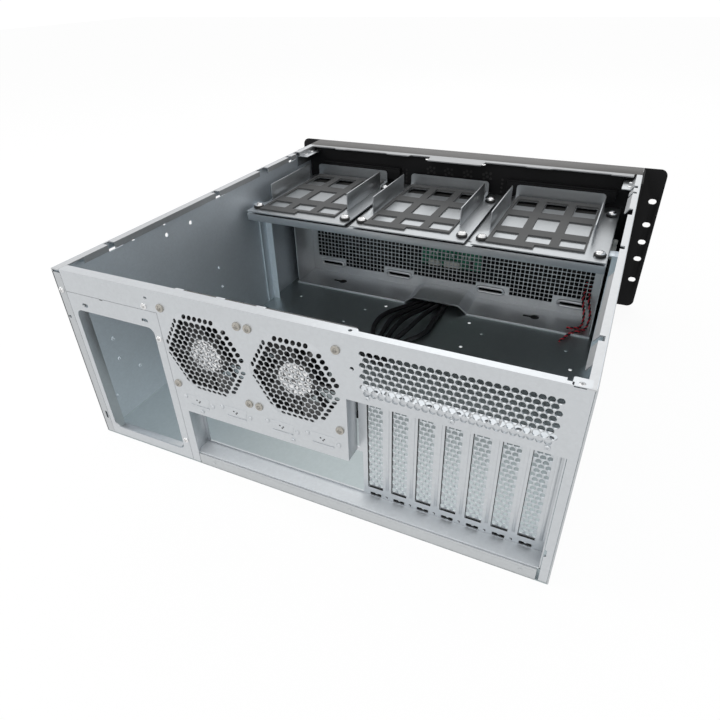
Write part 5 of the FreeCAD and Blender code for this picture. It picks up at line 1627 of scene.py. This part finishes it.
class CASE_OT_front(CasePiece, bpy.types.Operator):
    """Front panel, rail, bezel, buttons, gussets and ears"""

    bl_idname = "case.front"
    bl_label = "Front"

    def build(self):
        dress("inner_front", "black_paint", ["front_panel"], fold=0.2)
        self.rail()
        self.cages()
        self.bezel()
        dress("power_key", "button_cap", ["power_button"], "power_button", 0.5)
        dress("reset_key", "button_cap", ["reset_button"], "reset_button", 0.4)
        dress("corner_gussets", "zinc_tray", ["gusset_near", "gusset_far"], fold=0.3)
        for side in ("near", "far"):
            dress("rack_angle_" + side, "black_paint", ["rack_ear_" + side], fold=0.4)
        self.screws()

    def bezel(self):
        """The cover with a sloping blade behind each of its louvres."""
        shape = solid_copy("bezel")
        fold_edges(shape, 0.8)
        wall = FRONT_FACE - 2.5
        for index in range(9):
            low = 24.0 + 11.0 * index
            profile = ((wall + 0.2, low - 1.0), (wall + 0.2, low), (wall - 8.0, low + 8.7),
                       (wall - 8.0, low + 7.7))
            add_loft(shape, [[spot(across, inward, up) for inward, up in profile] for across in (29, 401)])
        finished("front_bezel", shape, "bezel_paint", stands_for=["bezel"])

    def rail(self):
        """The stepped strip along the front panel's top with its wider tab."""
        shape = bmesh.new()
        near, far = spans("front_rail")[0]
        tab = spans("front_rail")[1][0]
        corners = [
            (near, FRONT), (near, 432.5), (42, 432.5), (46, 429.5), (58, 429.5), (62, 431.0), (118, 431.0),
            (122, 428.5), (152, 428.5), (154, 433.0), (180, 433.0), (182, tab), (250, tab), (252, 431.0),
            (300, 431.0), (304, 429.0), (330, 429.0), (334, 431.5), (396, 431.5), (398, 429.5), (far, 429.5),
            (far, FRONT),
        ]
        add_sheet(shape, add_run(shape, level_plane(CASE_TOP), corners), DOWNWARD * SHEET)
        finished("top_rail", shape, "zinc_rail", stands_for=["front_rail"])

    def cages(self):
        """The shallow black cages behind the front panel, and dark dots and discs on the panel between them:
        painted shade where its vent holes would be.
        """
        shape = bmesh.new()
        for near, far in ((22, 139), (281, 408)):
            add_box(shape, (near, far), (430.6, 437.9), (144, 158.4), 0.8)
            add_box(shape, (near, far), (430.0, 431.4), (157.2, 159.2), 0.5)
        vent_shade_dots = bmesh.new()
        for across in (140.9, 146.3, 273.6):
            for up in (141.0, 146.0, 151.0, 156.0):
                add_turned(vent_shade_dots, rivet_profile(1.5, 0.6), spot(across, 437.8, up), REARWARD, 12)
        for across in (179.9, 203.7, 228.8, 253.9):
            for side, level in (
                    (-4.6, 1.6), (-1.2, 4.0), (0.6, -0.6), (4.2, 3.6), (4.8, -2.6), (-3.6, -3.4)):
                add_turned(vent_shade_dots, [(0, 0.12), (1.75, 0.12), (1.75, 0)],
                           spot(across + side, 437.8, 158.4 + level), REARWARD, 12)
        finished("front_cages", shape, "black_paint")
        finished("front_vents", vent_shade_dots, "hollow_dark")

    def screws(self):
        shape = bmesh.new()
        top = CASE_TOP - SHEET - 4.6
        for across in (SHEET + 9, CASE_WIDTH - SHEET - 9):
            for inward in (410, 426):
                add_screw(shape, spot(across, inward, top), UPWARD, 2.6, 0.9)
        for across, inward in ((180, 422), (252, 422)):
            add_screw(shape, spot(across, inward, CASE_TOP - 0.95), UPWARD, 2.6, 0.9)
        finished("front_screws", shape, "bright_plate")


class CASE_OT_board(CasePiece, bpy.types.Operator):
    """Switch board with its small parts, pillars and switches"""

    bl_idname = "case.board"
    bl_label = "Switch board"

    def build(self):
        dress("switch_card", "board_lacquer", ["switch_board"], fold=0.12)
        dress("card_pillars", "nickel_plate", ["board_spacers"], fold=0.3)
        dress("key_switches", "fan_plastic", ["button_switches"], fold=0.4)
        self.parts()

    def parts(self):
        low = spans("switch_board")[2][0]
        rear = spans("switch_board")[1][0]
        dark = bmesh.new()
        pale = bmesh.new()
        pins = bmesh.new()
        for left, right, bottom, top, deep in (
                (183, 197, 60, 70, 1.6), (203, 212, 64, 73, 1.2), (222, 238, 60, 68, 1.8),
                (246, 252, 40, 50, 4.0)):
            add_box(dark, (left, right), (rear - deep, rear + 0.1), (bottom, top), 0.25)
        for left, right, bottom, top in ((190, 206, 38, 45), (212, 234, 38, 46)):
            add_box(pale, (left, right), (rear - 6.0, rear + 0.1), (bottom, top), 0.4)
        for index in range(8):
            across = 190.5 + 7.6 * index
            add_box(pins, (across, across + 1.8), (rear - 0.7, rear + 0.1), (52, 55), 0.15)
            add_turned(pins, [(0, 0.3), (1.1, 0.3), (1.3, 0)], spot(across, rear, low + 44.5), REARWARD, 12)
        finished("card_chips", dark, "fan_plastic")
        finished("card_sockets", pale, "white_plug")
        finished("card_pads", pins, "bright_plate")


class CASE_OT_fasteners(CasePiece, bpy.types.Operator):
    """Screws of the fans, the bracket and the corner tab"""

    bl_idname = "case.fasteners"
    bl_label = "Fasteners"

    def build(self):
        shape = bmesh.new()
        for centre in FAN_CENTRES:
            for side in (-35.75, 35.75):
                for level in (-35.75, 35.75):
                    add_screw(shape, spot(centre + side, 0, FAN_UP + level), REARWARD, 3.5, 1.4)
                    add_turned(shape, [(0, 0), (1.9, 0), (1.9, -8), (0, -8)],
                               spot(centre + side, 0, FAN_UP + level), REARWARD, 12)
        finished("fan_fixings", shape, "nickel_plate", stands_for=["fan_screws"])
        shape = bmesh.new()
        for across, up in ((4.5, 157.5), (95.6, 160.6), (103.9, 24.2), (103.3, 132.4)):
            add_screw(shape, spot(across, 0, up), REARWARD, 2.7, 1.0)
        add_screw(shape, spot(421.0, 3.2, CASE_TOP - 0.75), UPWARD, 1.8, 0.6)
        finished("case_fixings", shape, "bright_plate")


# --- Panel and registration --------------------------------------------------------------


OPERATORS = (
    CASE_OT_stage, CASE_OT_leads, CASE_OT_rear_panel, CASE_OT_psu_bracket, CASE_OT_slots, CASE_OT_fans,
    CASE_OT_chassis, CASE_OT_guard, CASE_OT_trays, CASE_OT_front, CASE_OT_board, CASE_OT_fasteners,
)


class CASE_PT_builder(bpy.types.Panel):
    """The sizes, the colours and a button for each group of pieces"""

    bl_idname = "CASE_PT_builder"
    bl_label = "Rack case"
    bl_space_type = "VIEW_3D"
    bl_region_type = "UI"
    bl_category = "Rack Case"

    def draw(self, context):
        for owner in (context.scene.case_sizes, context.scene.case_colours):
            box = self.layout.box()
            for name in owner.__annotations__:
                box.prop(owner, name)
        for operator in OPERATORS:
            self.layout.operator(operator.bl_idname)


CLASSES = (CaseSizes, CaseColours, *OPERATORS, CASE_PT_builder)


def register():
    for each in CLASSES:
        bpy.utils.register_class(each)
    bpy.types.Scene.case_sizes = bpy.props.PointerProperty(type=CaseSizes)
    bpy.types.Scene.case_colours = bpy.props.PointerProperty(type=CaseColours)


def unregister():
    del bpy.types.Scene.case_colours
    del bpy.types.Scene.case_sizes
    for each in reversed(CLASSES):
        bpy.utils.unregister_class(each)


def main():
    """Builds every piece in turn."""
    register()
    for operator in OPERATORS:
        group, name = operator.bl_idname.split(".")
        getattr(getattr(bpy.ops, group), name)()


if __name__ == "__main__":
    main()
